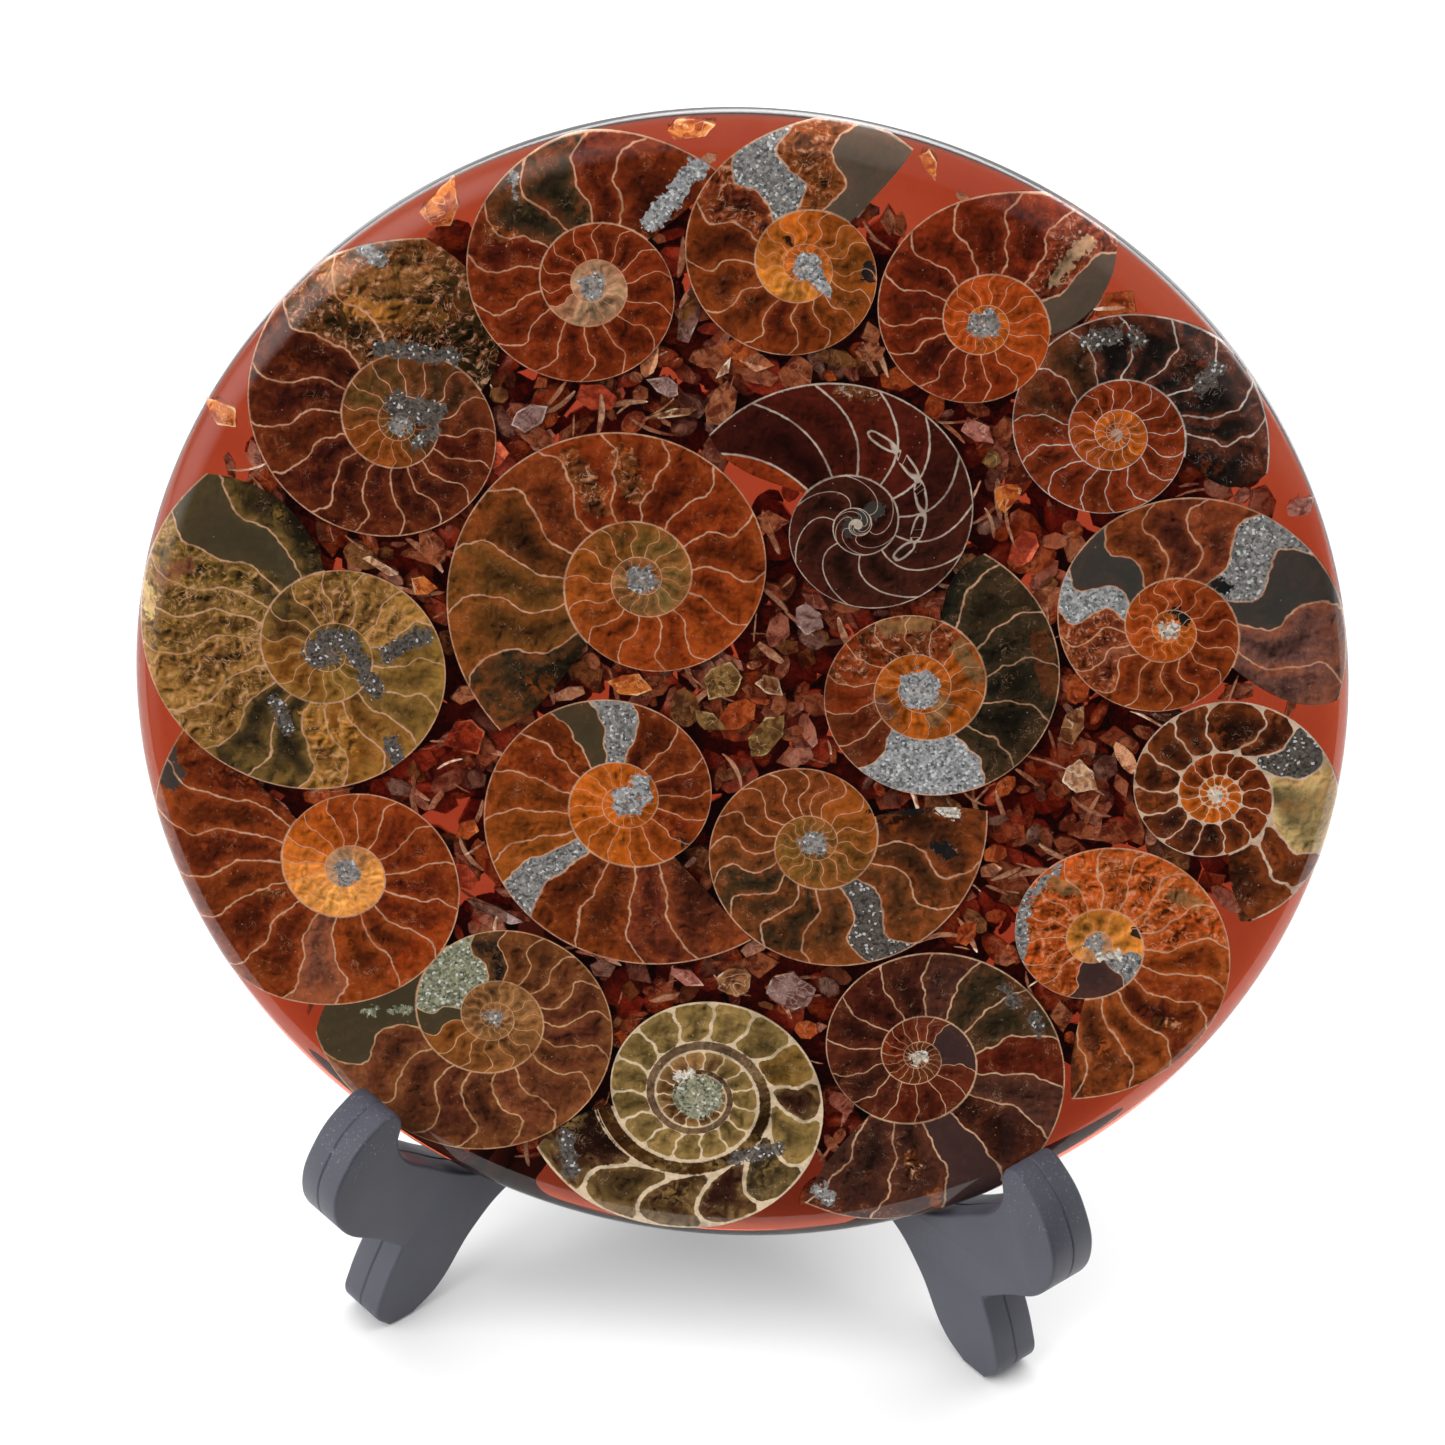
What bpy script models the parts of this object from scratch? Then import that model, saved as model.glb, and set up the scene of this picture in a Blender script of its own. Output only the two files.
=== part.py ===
"""Polished ammonite disc on a slot-together stand.

A cast disc of red resin, 150 mm across, leans back in two black plastic plates that
cross at right angles behind it. Seventeen sliced ammonites, one nautilus slice and
loose shell chips are set in its face and polished flush with it.

Metres, +Z up. The disc's face looks towards -Y, and the floor is at Z = 0.
"""

import math
import random

import bmesh
import bpy
from mathutils import Vector

MM = 0.001
GAP = 0.3 * MM  # clearance between neighbouring pieces

# The resin disc
DISC_RADIUS = 75 * MM
DISC_THICKNESS = 8.5 * MM
EDGE_ROUND_IN = 4.2 * MM  # how far in from the rim the rounding starts
EDGE_ROUND_DEEP = 3.6 * MM  # how far down the side it reaches
EDGE_STEPS = 4
DISC_SIDES = 72
LEAN_BACK = math.radians(14)
DISC_CENTRE_HEIGHT = 87 * MM

# What is set in the face
SLICE_THICKNESS = 5 * MM
CHIP_THICKNESS = 3 * MM
ABOVE_FACE = 1 * MM  # how far a cutter stands proud of the face
WALL_STEPS = 30
LIP_STEPS = 4

# The stand's two plates
PLATE_THICKNESS = 7 * MM
PLATE_TURN = math.radians(45)  # from the front-to-back direction
SEAT_HALF_SPAN = 33.5 * MM  # from the middle of the disc to the middle of each groove
LAP_HEIGHT = 27 * MM  # where the two half-lap slots meet
OUTLINE_STEPS = 3

# One row for each slice, in millimetres and degrees on the disc's face, seen from the
# front: middle x, middle y, radius at the mouth, growth of the radius in one turn, angle
# of the mouth, turn of the shell (1 anticlockwise, -1 clockwise), how far the inner end
# of the mouth runs on, how far the mouth bulges.
SLICES = {
    "ammonite_01": (-21.3, 52.7, 20.8, 2.40, 48, -1, 2, 2),
    "ammonite_02": (3.4, 57.3, 19.3, 2.49, 52, -1, 3, 0),
    "ammonite_03": (25.5, 52.1, 18.6, 2.62, 37, -1, 42, 0),
    "ammonite_04": (42.5, 39.7, 18.9, 2.21, 350, -1, 4, 10),
    "ammonite_05": (-43.3, 33.2, 23.7, 2.59, 86, -1, 58, 4),
    "ammonite_06": (-12.9, 15.7, 26.9, 2.52, 233, 1, 2, 3),
    "ammonite_07": (-50.5, 2.5, 27.4, 2.76, 126, -1, 30, 3),
    "ammonite_08": (51.5, 15.1, 22.9, 2.56, 341, -1, 8, 5),
    "ammonite_09": (22.0, 4.5, 19.5, 2.12, 71, 1, 8, 5),
    "ammonite_10": (59.6, -6.1, 17.7, 2.20, 291, -1, 4, 4),
    "ammonite_11": (-47.1, -26.8, 27.5, 3.00, 140, -1, 5, 0),
    "ammonite_12": (-13.2, -14.1, 24.3, 2.56, 315, 1, 0, 0),
    "ammonite_13": (10.7, -17.4, 22.0, 2.72, 17, 1, 14, 0),
    "ammonite_14": (46.8, -27.6, 22.0, 2.82, 268, -1, 2, 2),
    "ammonite_15": (-27.7, -45.2, 22.8, 2.40, 191, -1, 68, 0),
    "ammonite_16": (-1.2, -53.8, 22.0, 2.09, 205, -1, 12, 2),
    "ammonite_17": (26.2, -45.7, 25.3, 2.53, 240, -1, 2, 2),
    "nautilus": (12.6, 25.2, 21.2, 2.85, 152, 1, 0, 6),
}

# Slices that were ground back where a neighbour lies against them.
GROUND_BY = {
    "ammonite_01": ("ammonite_02",),
    "ammonite_03": ("ammonite_02",),
    "ammonite_04": ("ammonite_03", "ammonite_08"),
    "ammonite_05": ("ammonite_01", "ammonite_06"),
    "ammonite_07": ("ammonite_05",),
    "ammonite_08": ("ammonite_10",),
    "ammonite_09": ("nautilus",),
    "ammonite_11": ("ammonite_07",),
    "ammonite_12": ("ammonite_13", "ammonite_06"),
    "ammonite_13": ("ammonite_09",),
    "ammonite_14": ("ammonite_17",),
    "ammonite_15": ("ammonite_11", "ammonite_12", "ammonite_16"),
    "ammonite_16": ("ammonite_17",),
}

# One row for each loose chip: middle x, middle y, length, width, turn, corners.
CHIPS = {
    "chip_amber_top": (-11.4, 72.7, 7.4, 3.0, 8, 6),
    "chip_amber_top_right": (17.4, 71.0, 4.4, 2.4, -58, 5),
    "chip_orange_upper_left": (-39.8, 60.8, 7.4, 5.6, 60, 6),
    "chip_orange_left": (-65.0, 32.4, 5.6, 4.4, -30, 5),
    "chip_druzy_top": (-11.7, 40.8, 5.6, 3.4, -25, 6),
    "chip_blade_top": (-10.6, 37.4, 7.0, 1.5, 17, 5),
    "chip_flake_top": (-4.9, 43.6, 4.0, 1.4, 62, 4),
    "chip_grey_upper_left": (-27.6, 35.6, 7.0, 4.6, 40, 6),
    "chip_grey_upper_right": (25.4, 38.8, 6.4, 3.4, -25, 5),
    "chip_olive_right": (28.0, 34.9, 3.8, 2.6, 60, 5),
    "chip_tube_right": (30.3, 30.6, 5.0, 4.0, 55, 8),
    "chip_pink_right": (65.6, 32.2, 4.6, 3.2, 25, 5),
    "chip_tan_centre": (-2.3, 3.4, 6.6, 6.0, 70, 6),
    "chip_orange_centre": (-13.8, 1.6, 7.4, 4.0, 0, 6),
    "chip_brown_centre": (3.6, 3.4, 5.2, 2.8, -28, 5),
    "chip_grey_centre": (7.4, 12.8, 5.8, 5.0, 80, 6),
    "chip_olive_centre": (4.0, -3.4, 8.6, 5.0, 62, 6),
    "chip_yellow_centre": (-3.4, -2.2, 5.6, 3.4, -20, 5),
    "chip_tan_lower_right": (41.0, 1.4, 7.6, 4.2, 75, 5),
    "chip_cream_lower_right": (42.4, -5.6, 6.2, 5.2, -30, 6),
    "chip_red_left": (-33.4, -7.2, 6.2, 5.4, 10, 6),
    "chip_amber_left": (-39.6, 12.4, 4.2, 3.4, 10, 5),
    "chip_flake_left": (-45.0, 14.6, 8.2, 1.6, -30, 5),
    "chip_round_bottom": (9.2, -37.9, 7.4, 7.0, 0, 9),
    "chip_porous_bottom": (2.2, -37.4, 5.2, 4.6, 20, 7),
    "chip_pink_bottom": (-3.6, -37.3, 5.0, 3.2, -20, 5),
}

# The plate's outline, in millimetres: along the plate from the middle of the groove
# towards the back, then height. A rounded point is smoothed, a sharp one is a corner.
ROUNDED, SHARP = "AUTO", "VECTOR"
PLATE_OUTLINE = (
    (-10.7, 0.0, SHARP),
    (-12.8, 2.6, ROUNDED),
    (-12.2, 5.6, ROUNDED),
    (-8.8, 12.8, SHARP),
    (-13.2, 16.4, ROUNDED),
    (-18.2, 20.2, ROUNDED),
    (-20.2, 25.2, ROUNDED),
    (-18.4, 31.0, ROUNDED),
    (-14.0, 35.3, ROUNDED),
    (-10.8, 36.2, ROUNDED),
    (-9.6, 34.6, ROUNDED),
    (-10.0, 31.0, ROUNDED),
    (-8.8, 27.8, ROUNDED),
    (-4.4, 24.0, ROUNDED),
    (0.4, 20.4, ROUNDED),
    (4.4, 18.4, ROUNDED),
    (7.2, 18.0, SHARP),
    (9.4, 19.4, SHARP),
    (23.6, 60.0, SHARP),
    (27.2, 62.6, ROUNDED),
    (30.8, 59.6, ROUNDED),
    (37.0, 44.0, ROUNDED),
    (48.0, 36.0, ROUNDED),
    (66.0, 34.0, ROUNDED),
    (84.0, 25.0, ROUNDED),
    (92.0, 8.0, ROUNDED),
    (90.4, 0.0, SHARP),
    (81.6, 0.0, SHARP),
    (77.0, 9.4, ROUNDED),
    (64.0, 16.2, ROUNDED),
    (46.0, 18.0, ROUNDED),
    (26.0, 17.4, ROUNDED),
    (8.2, 13.4, ROUNDED),
    (3.0, 9.4, ROUNDED),
    (-3.0, 2.1, ROUNDED),
    (-6.8, 0.0, SHARP),
)


def clear_scene():
    """Removes what the startup scene holds."""
    for obj in list(bpy.data.objects):
        bpy.data.objects.remove(obj, do_unlink=True)


def new_collection(name, hidden=False):
    """A collection in the scene, left out of renders if hidden."""
    collection = bpy.data.collections.new(name)
    collection.hide_render = hidden
    bpy.context.scene.collection.children.link(collection)
    return collection


def material(name, colour, roughness, transmission=0.0):
    """A Principled material of one colour."""
    made = bpy.data.materials.new(name)
    made.use_nodes = True
    shader = made.node_tree.nodes["Principled BSDF"]
    shader.inputs["Base Color"].default_value = (*colour, 1)
    shader.inputs["Roughness"].default_value = roughness
    shader.inputs["Metallic"].default_value = 0
    shader.inputs["Transmission Weight"].default_value = transmission
    return made


def evaluated_mesh(obj):
    """The object's mesh with its curve caps joined to its sides."""
    graph = bpy.context.evaluated_depsgraph_get()
    mesh = bpy.data.meshes.new_from_object(obj.evaluated_get(graph))
    body = bmesh.new()
    body.from_mesh(mesh)
    bmesh.ops.remove_doubles(body, verts=body.verts, dist=0.001 * MM)
    bmesh.ops.recalc_face_normals(body, faces=body.faces)
    body.to_mesh(mesh)
    body.free()
    return mesh


def mesh_from_curve(name, curve, collection):
    """A mesh object made from a flat curve, which is removed."""
    guide = bpy.data.objects.new(name + "_outline", curve)
    bpy.context.scene.collection.objects.link(guide)
    mesh = evaluated_mesh(guide)
    bpy.data.objects.remove(guide)
    obj = bpy.data.objects.new(name, mesh)
    collection.objects.link(obj)
    return obj


def flat_curve(name, half_thickness):
    """A filled flat curve, thickened to both sides."""
    curve = bpy.data.curves.new(name, "CURVE")
    curve.dimensions = "2D"
    curve.fill_mode = "BOTH"
    curve.extrude = half_thickness
    return curve


def prism(name, outline, low, high, collection):
    """A straight-sided solid over a closed outline, from height low to height high."""
    curve = flat_curve(name, (high - low) / 2)
    spline = curve.splines.new("POLY")
    spline.points.add(len(outline) - 1)
    for point, place in zip(spline.points, outline):
        point.co = (place.x, place.y, 0, 1)
    spline.use_cyclic_u = True
    obj = mesh_from_curve(name, curve, collection)
    for vertex in obj.data.vertices:
        vertex.co.z += (high + low) / 2
    return obj


def grown(outline, distance):
    """The anticlockwise outline moved outwards by a distance, with mitred corners."""
    moved = []
    for index, place in enumerate(outline):
        before = (place - outline[index - 1]).normalized()
        after = (outline[(index + 1) % len(outline)] - place).normalized()
        out_before = Vector((before.y, -before.x))
        out_after = Vector((after.y, -after.x))
        middle = (out_before + out_after).normalized()
        moved.append(place + middle * distance / max(middle.dot(out_after), 0.5))
    return moved


def slice_outline(row):
    """The spiral outline of a slice: one turn of the outer wall, then the mouth."""
    x, y, radius, growth, mouth, turn, run_on, bulge = row
    points = []
    wall_degrees = 360 - run_on
    for step in range(WALL_STEPS + 1):
        back = wall_degrees * (1 - step / WALL_STEPS)
        points.append((radius * growth ** (-back / 360), mouth - turn * back))
    inner_radius = points[0][0]
    for step in range(1, LIP_STEPS):
        along = step / LIP_STEPS
        ahead = run_on * along + bulge * 4 * along * (1 - along)
        lip_radius = radius + (inner_radius - radius) * along
        points.append((lip_radius, mouth + turn * ahead))
    outline = []
    for distance, degrees in points:
        angle = math.radians(degrees)
        place = Vector((x + distance * math.cos(angle), y + distance * math.sin(angle)))
        outline.append(place * MM)
    return outline if turn > 0 else outline[::-1]


def chip_outline(row, seed):
    """An uneven many-sided outline, anticlockwise."""
    x, y, length, width, turn, corners = row
    chance = random.Random(seed)
    turn = math.radians(turn)
    outline = []
    for corner in range(corners):
        angle = 2 * math.pi * (corner + chance.uniform(-0.22, 0.22)) / corners
        reach = chance.uniform(0.84, 1.0)
        along = math.cos(angle) * reach * length / 2
        across = math.sin(angle) * reach * width / 2
        outline.append(
            MM
            * Vector(
                (
                    x + along * math.cos(turn) - across * math.sin(turn),
                    y + along * math.sin(turn) + across * math.cos(turn),
                )
            )
        )
    return outline


def edge_profile():
    """The disc's half section, from the middle of the face round to the middle of the back."""
    steps = range(EDGE_STEPS + 1)
    front, back = [], []
    for step in steps:
        angle = math.pi / 2 * step / EDGE_STEPS
        inset = EDGE_ROUND_IN * (1 - math.sin(angle))
        depth = EDGE_ROUND_DEEP * (1 - math.cos(angle))
        front.append((DISC_RADIUS - inset, -depth))
        back.append((DISC_RADIUS - inset, depth - DISC_THICKNESS))
    return [(0, 0), *front, *reversed(back), (0, -DISC_THICKNESS)]


def turned_disc(name, collection):
    """The disc's full form, turned from its half section, its face at height 0."""
    profile = edge_profile()
    mesh = bpy.data.meshes.new(name)
    edges = [(i, i + 1) for i in range(len(profile) - 1)]
    mesh.from_pydata([(radius, 0, height) for radius, height in profile], edges, [])
    obj = bpy.data.objects.new(name, mesh)
    collection.objects.link(obj)
    screw = obj.modifiers.new("Turn", "SCREW")
    screw.axis = "Z"
    screw.steps = DISC_SIDES
    screw.render_steps = DISC_SIDES
    screw.use_merge_vertices = True
    screw.merge_threshold = 0.01 * MM
    return obj


def cut(obj, cutter, operation="DIFFERENCE"):
    """A Boolean modifier on obj."""
    modifier = obj.modifiers.new(operation.title(), "BOOLEAN")
    modifier.operation = operation
    modifier.solver = "EXACT"
    modifier.object = cutter
    cutter.display_type = "WIRE"
    cutter.hide_render = True


def reaches_edge(outline):
    """Whether an outline comes to where the disc's edge is rounded."""
    return max(place.length for place in outline) > DISC_RADIUS - EDGE_ROUND_IN


def set_in_face(name, outline, thickness, disc_form, pieces, cutters):
    """A piece polished flush with the disc's face, and the cutter of its pocket."""
    at_edge = reaches_edge(outline)
    piece = prism(name, outline, -thickness, ABOVE_FACE if at_edge else 0, pieces)
    if at_edge:
        cut(piece, disc_form, "INTERSECT")
    pocket = grown(outline, GAP)
    prism(name + "_pocket", pocket, -thickness - GAP, ABOVE_FACE, cutters)
    return piece


def make_disc(pieces, cutters, pockets):
    """The resin disc, its slices and its chips, all on one leaning seat."""
    seat = bpy.data.objects.new("disc_seat", None)
    pieces.objects.link(seat)
    resin = turned_disc("resin_disc", pieces)
    disc_form = turned_disc("disc_form", cutters)
    made = [resin, disc_form]
    outlines = {name: slice_outline(row) for name, row in SLICES.items()}
    for name, outline in outlines.items():
        piece = set_in_face(name, outline, SLICE_THICKNESS, disc_form, pieces, pockets)
        for neighbour in GROUND_BY.get(name, ()):
            clear = grown(outlines[neighbour], GAP)
            low = -SLICE_THICKNESS - ABOVE_FACE
            tool = prism(f"{name}_by_{neighbour}", clear, low, 2 * ABOVE_FACE, cutters)
            cut(piece, tool)
            made.append(tool)
        made.append(piece)
    for seed, (name, row) in enumerate(CHIPS.items()):
        outline = chip_outline(row, seed)
        made.append(
            set_in_face(name, outline, CHIP_THICKNESS, disc_form, pieces, pockets)
        )
    for tool in pockets.objects:
        cut(resin, tool)
        made.append(tool)
    for obj in made:
        obj.parent = seat
    seat.rotation_euler = (math.pi / 2 - LEAN_BACK, 0, 0)
    return seat


def seat_depth():
    """How far the disc's middle is in front of the crossing of the plates."""
    seat_height = DISC_CENTRE_HEIGHT - math.sqrt(DISC_RADIUS**2 - SEAT_HALF_SPAN**2)
    drop = DISC_CENTRE_HEIGHT - seat_height
    lean = drop * math.sin(LEAN_BACK)
    return SEAT_HALF_SPAN / math.tan(PLATE_TURN) - lean


def crossing_depth():
    """Y of the plates' crossing that puts the whole object's box round the origin."""
    crossing = SEAT_HALF_SPAN / math.sin(PLATE_TURN)
    half_across = PLATE_THICKNESS / 2 * math.sin(PLATE_TURN)
    front = min(point[0] for point in PLATE_OUTLINE) * MM - crossing
    back = max(point[0] for point in PLATE_OUTLINE) * MM - crossing
    lowest = front * math.cos(PLATE_TURN) - half_across
    highest = back * math.cos(PLATE_TURN) + half_across
    return -(lowest + highest) / 2


def plate_curve(name):
    """The plate's outline as one smooth closed curve, thickened to both sides."""
    curve = flat_curve(name, PLATE_THICKNESS / 2)
    curve.resolution_u = OUTLINE_STEPS
    spline = curve.splines.new("BEZIER")
    spline.bezier_points.add(len(PLATE_OUTLINE) - 1)
    for point, (along, height, kind) in zip(spline.bezier_points, PLATE_OUTLINE):
        point.co = (along * MM, height * MM, 0)
        point.handle_left_type = kind
        point.handle_right_type = kind
    spline.use_cyclic_u = True
    return curve


def make_plate(name, side, open_top, pieces, cutters):
    """One plate of the stand, with its half-lap slot, on the side -1 left or 1 right."""
    crossing = SEAT_HALF_SPAN / math.sin(PLATE_TURN)
    plate = mesh_from_curve(name, plate_curve(name), pieces)
    low, high = (LAP_HEIGHT, 80 * MM) if open_top else (-10 * MM, LAP_HEIGHT + GAP)
    half = PLATE_THICKNESS / 2 + GAP
    corners = [(-half, low), (half, low), (half, high), (-half, high)]
    outline = [Vector((crossing + x, y)) for x, y in corners]
    slot = prism(name + "_slot", outline, -PLATE_THICKNESS, PLATE_THICKNESS, cutters)
    cut(plate, slot)
    turn = math.pi / 2 - PLATE_TURN if side < 0 else math.pi / 2 + PLATE_TURN
    groove_depth = crossing_depth() - SEAT_HALF_SPAN / math.tan(PLATE_TURN)
    for obj in (plate, slot):
        obj.rotation_euler = (math.pi / 2, 0, turn)
        obj.location = (side * SEAT_HALF_SPAN, groove_depth, 0)
    return plate


def paint(pieces):
    """Gives each piece its material."""
    resin = material("red_resin", (0.30, 0.02, 0.01), 0.05, transmission=0.7)
    stone = material("polished_fossil", (0.24, 0.08, 0.03), 0.12)
    dark = material("nautilus_calcite", (0.06, 0.02, 0.02), 0.12)
    chip = material("shell_chip", (0.45, 0.22, 0.10), 0.15)
    plastic = material("black_plastic", (0.07, 0.07, 0.09), 0.5)
    by_start = {
        "resin": resin,
        "ammonite": stone,
        "nautilus": dark,
        "chip": chip,
        "stand": plastic,
    }
    for obj in pieces.objects:
        if obj.type == "MESH":
            obj.data.materials.append(by_start[obj.name.split("_")[0]])


def main():
    clear_scene()
    pieces = new_collection("polished_ammonite_disc")
    cutters = new_collection("cutters", hidden=True)
    pockets = new_collection("pocket_cutters", hidden=True)
    seat = make_disc(pieces, cutters, pockets)
    face_out = Vector((0, -math.cos(LEAN_BACK), math.sin(LEAN_BACK)))
    middle = Vector((0, crossing_depth() - seat_depth(), DISC_CENTRE_HEIGHT))
    seat.location = middle + face_out * DISC_THICKNESS / 2
    make_plate("stand_left", -1, True, pieces, cutters)
    make_plate("stand_right", 1, False, pieces, cutters)
    paint(pieces)


main()
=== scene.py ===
import math
import random

import bpy
import numpy as np
from mathutils import Matrix, Vector


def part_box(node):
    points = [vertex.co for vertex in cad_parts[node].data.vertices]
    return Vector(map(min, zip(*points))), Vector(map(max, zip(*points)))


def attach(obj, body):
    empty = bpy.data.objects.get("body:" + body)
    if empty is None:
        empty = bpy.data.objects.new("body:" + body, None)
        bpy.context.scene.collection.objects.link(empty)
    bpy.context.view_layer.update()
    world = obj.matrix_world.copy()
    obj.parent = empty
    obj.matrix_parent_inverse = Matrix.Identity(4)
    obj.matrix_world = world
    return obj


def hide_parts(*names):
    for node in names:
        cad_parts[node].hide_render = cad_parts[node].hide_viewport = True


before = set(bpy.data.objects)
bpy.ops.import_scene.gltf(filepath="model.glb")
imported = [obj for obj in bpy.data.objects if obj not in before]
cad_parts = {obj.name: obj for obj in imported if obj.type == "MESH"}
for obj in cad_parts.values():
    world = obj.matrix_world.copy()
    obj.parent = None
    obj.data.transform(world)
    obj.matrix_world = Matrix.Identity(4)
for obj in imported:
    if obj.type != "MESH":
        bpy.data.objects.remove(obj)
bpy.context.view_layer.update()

MM = 0.001

# The disc and how it leans
DISC_RADIUS = 75.0
DISC_THICKNESS = 8.5
EDGE_ROUND_IN = 4.2
EDGE_ROUND_DEEP = 3.6
LEAN_BACK = math.radians(14)
DISC_MIDDLE = Vector((0, -9.152, 87.0))

# The resin
RESIN_HUE = (0.72, 0.335, 0.175, 1)
RESIN_DENSITY = 540.0
RESIN_BELOW = 0.14  # how far the resin lies under the highest slice
RESIN_RADIUS = DISC_RADIUS - 0.07
EDGE_STEPS = 14

# The slices' sheets
STEP_DEGREES = 2.0
SHEET_ROWS = 14
SLICE_THICKNESS = 5.0
CORE_RADIUS = 1.0
SHEET_REACH = 74.88
EDGE_BAND = 69.5  # beyond this radius the sheet is finer, to follow the rounded edge
LEVEL_STEP = 0.012  # a ground slice lies this much lower than its neighbour
THINNEST = 0.15
SEPTUM_STEPS = 25
BEAD_WIDTH = 0.62
BAND_SHARE = 0.2  # how much of a chamber's height the band at its inner wall takes
BAND_STEP = 20
BAND_END = 700
FAR = 9.0  # a distance that no mark reaches

# The stand's plates
PLATE_THICKNESS = 7.0
PLATE_TURN = math.radians(45)
PLATE_CROSSING = 8.115  # how far back the plates cross
SEAT_HALF_SPAN = 33.5
LAP_HEIGHT = 27.0
LAP_GAP = 0.3
UNDER_PLATE, OVER_PLATE = -10, 80
SEAM_HALF_WIDTH = 0.22
SEAM_DEPTH = 0.16

# The chips
CHIP_THICKNESS = 3.0
CHIP_BELOW = 0.03
STARTER_PLACE = (30.3, 28.4, -1.6)  # where the first piece of every colour lies
CURLED = 0.05  # pieces that curl more than this have a finer outline
CURL_SIDES = 14

# The camera: where it stands and how the photograph is framed
CAMERA_AZIMUTH = math.radians(1)
CAMERA_ELEVATION = math.radians(36.867)
CAMERA_ROLL = math.radians(4.344)
CAMERA_DISTANCE = 650.0
IMAGE_SIDE = 1445
FOCAL_PIXELS = 5287.8
FACE_AT_PIXEL = (738.21, 707.76)
SENSOR = 36.0

# Finishes: colours on a screen, of 0 to 255, then the renderer's own values
LINE = (204, 156, 124)
GLOW = (176, 82, 26)
EMBER = (170, 84, 30)
# the pale colour painted on a few crystal grains as glints
PAINTED_GLINT = (0.80, 0.80, 0.78)
CLEAR = (0.0, 0.0, 0.0, 1.0)
WHITE = (1, 1, 1, 1)
STONE_IOR = 1.52

# One row for each slice, in millimetres and degrees on the disc's face: middle x, middle
# y, radius at the mouth, growth of the radius in one turn, angle of the mouth, turn of the
# shell, how far the inner end of the mouth runs on, how far the mouth bulges.
SLICES = {
    "ammonite_01": (-21.3, 52.7, 20.8, 2.40, 48, -1, 2, 2),
    "ammonite_02": (3.4, 57.3, 19.3, 2.49, 52, -1, 3, 0),
    "ammonite_03": (25.5, 52.1, 18.6, 2.62, 37, -1, 42, 0),
    "ammonite_04": (42.5, 39.7, 18.9, 2.21, 350, -1, 4, 10),
    "ammonite_05": (-43.3, 33.2, 23.7, 2.59, 86, -1, 58, 4),
    "ammonite_06": (-12.9, 15.7, 26.9, 2.52, 233, 1, 2, 3),
    "ammonite_07": (-50.5, 2.5, 27.4, 2.76, 126, -1, 30, 3),
    "ammonite_08": (51.5, 15.1, 22.9, 2.56, 341, -1, 8, 5),
    "ammonite_09": (22.0, 4.5, 19.5, 2.12, 71, 1, 8, 5),
    "ammonite_10": (59.6, -6.1, 17.7, 2.20, 291, -1, 4, 4),
    "ammonite_11": (-47.1, -26.8, 27.5, 3.00, 140, -1, 5, 0),
    "ammonite_12": (-13.2, -14.1, 24.3, 2.56, 315, 1, 0, 0),
    "ammonite_13": (10.7, -17.4, 22.0, 2.72, 17, 1, 14, 0),
    "ammonite_14": (46.8, -27.6, 22.0, 2.82, 268, -1, 2, 2),
    "ammonite_15": (-27.7, -45.2, 22.8, 2.40, 191, -1, 68, 0),
    "ammonite_16": (-1.2, -53.8, 22.0, 2.09, 205, -1, 12, 2),
    "ammonite_17": (26.2, -45.7, 25.3, 2.53, 240, -1, 2, 2),
    "nautilus": (12.6, 25.2, 21.2, 2.85, 152, 1, 0, 6),
}

# Slices that were ground back where a neighbour lies against them.
GROUND_BY = {
    "ammonite_01": ("ammonite_02",),
    "ammonite_03": ("ammonite_02",),
    "ammonite_04": ("ammonite_03", "ammonite_08"),
    "ammonite_05": ("ammonite_01", "ammonite_06"),
    "ammonite_07": ("ammonite_05",),
    "ammonite_08": ("ammonite_10",),
    "ammonite_09": ("nautilus",),
    "ammonite_11": ("ammonite_07",),
    "ammonite_12": ("ammonite_13", "ammonite_06"),
    "ammonite_13": ("ammonite_09",),
    "ammonite_14": ("ammonite_17",),
    "ammonite_15": ("ammonite_11", "ammonite_12", "ammonite_16"),
    "ammonite_16": ("ammonite_17",),
}

# What fills a chamber: its kind, and its colour on a screen.
MOTTLED, FLECKED, FLAT, DRUSE = 0.0, 0.3, 0.6, 1.0
FILLS = {
    MOTTLED: {
        "maroon": (84, 27, 13), "dark_maroon": (56, 17, 11), "russet": (112, 38, 14),
        "red_orange": (138, 50, 16), "orange": (196, 96, 24), "gold": (216, 138, 52),
        "bright_gold": (252, 170, 82), "vivid_orange": (172, 72, 20), "amber": (140, 74, 23),
        "brown": (86, 44, 22), "dark_brown": (58, 28, 18), "grey_brown": (66, 44, 36),
        "black": (34, 26, 22), "olive": (98, 70, 32), "olive_gold": (116, 84, 36),
        "olive_dark": (56, 44, 26), "olive_black": (36, 33, 22), "khaki": (124, 99, 54),
        "tan": (142, 98, 58), "cream_tan": (186, 148, 112), "purple_brown": (90, 40, 28),
        "mauve": (112, 74, 64), "pale_pink": (122, 70, 50), "calcite": (196, 166, 108),
    },
    FLECKED: {
        "veined_gold": (138, 93, 46), "veined_olive": (78, 58, 28),
        "veined_orange": (142, 56, 20), "bright_orange": (166, 66, 20),
        "brown_fleck": (98, 42, 24), "gold_druse": (104, 56, 26),
        "gold_crystal": (164, 108, 44),
    },
    FLAT: {
        "olive_flat": (66, 56, 38), "slate": (84, 70, 58), "charcoal": (58, 54, 50),
        # pit: near-black fill, painted shade of small hollows in the cut face
        "grey_purple": (62, 42, 39), "pit_shade": (24, 26, 26),
    },
    DRUSE: {
        "grey_druse": (126, 123, 120), "light_druse": (146, 145, 145),
        "white_druse": (196, 186, 172), "dark_druse": (84, 76, 70),
        "green_druse": (132, 132, 108),
    },
}

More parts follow.
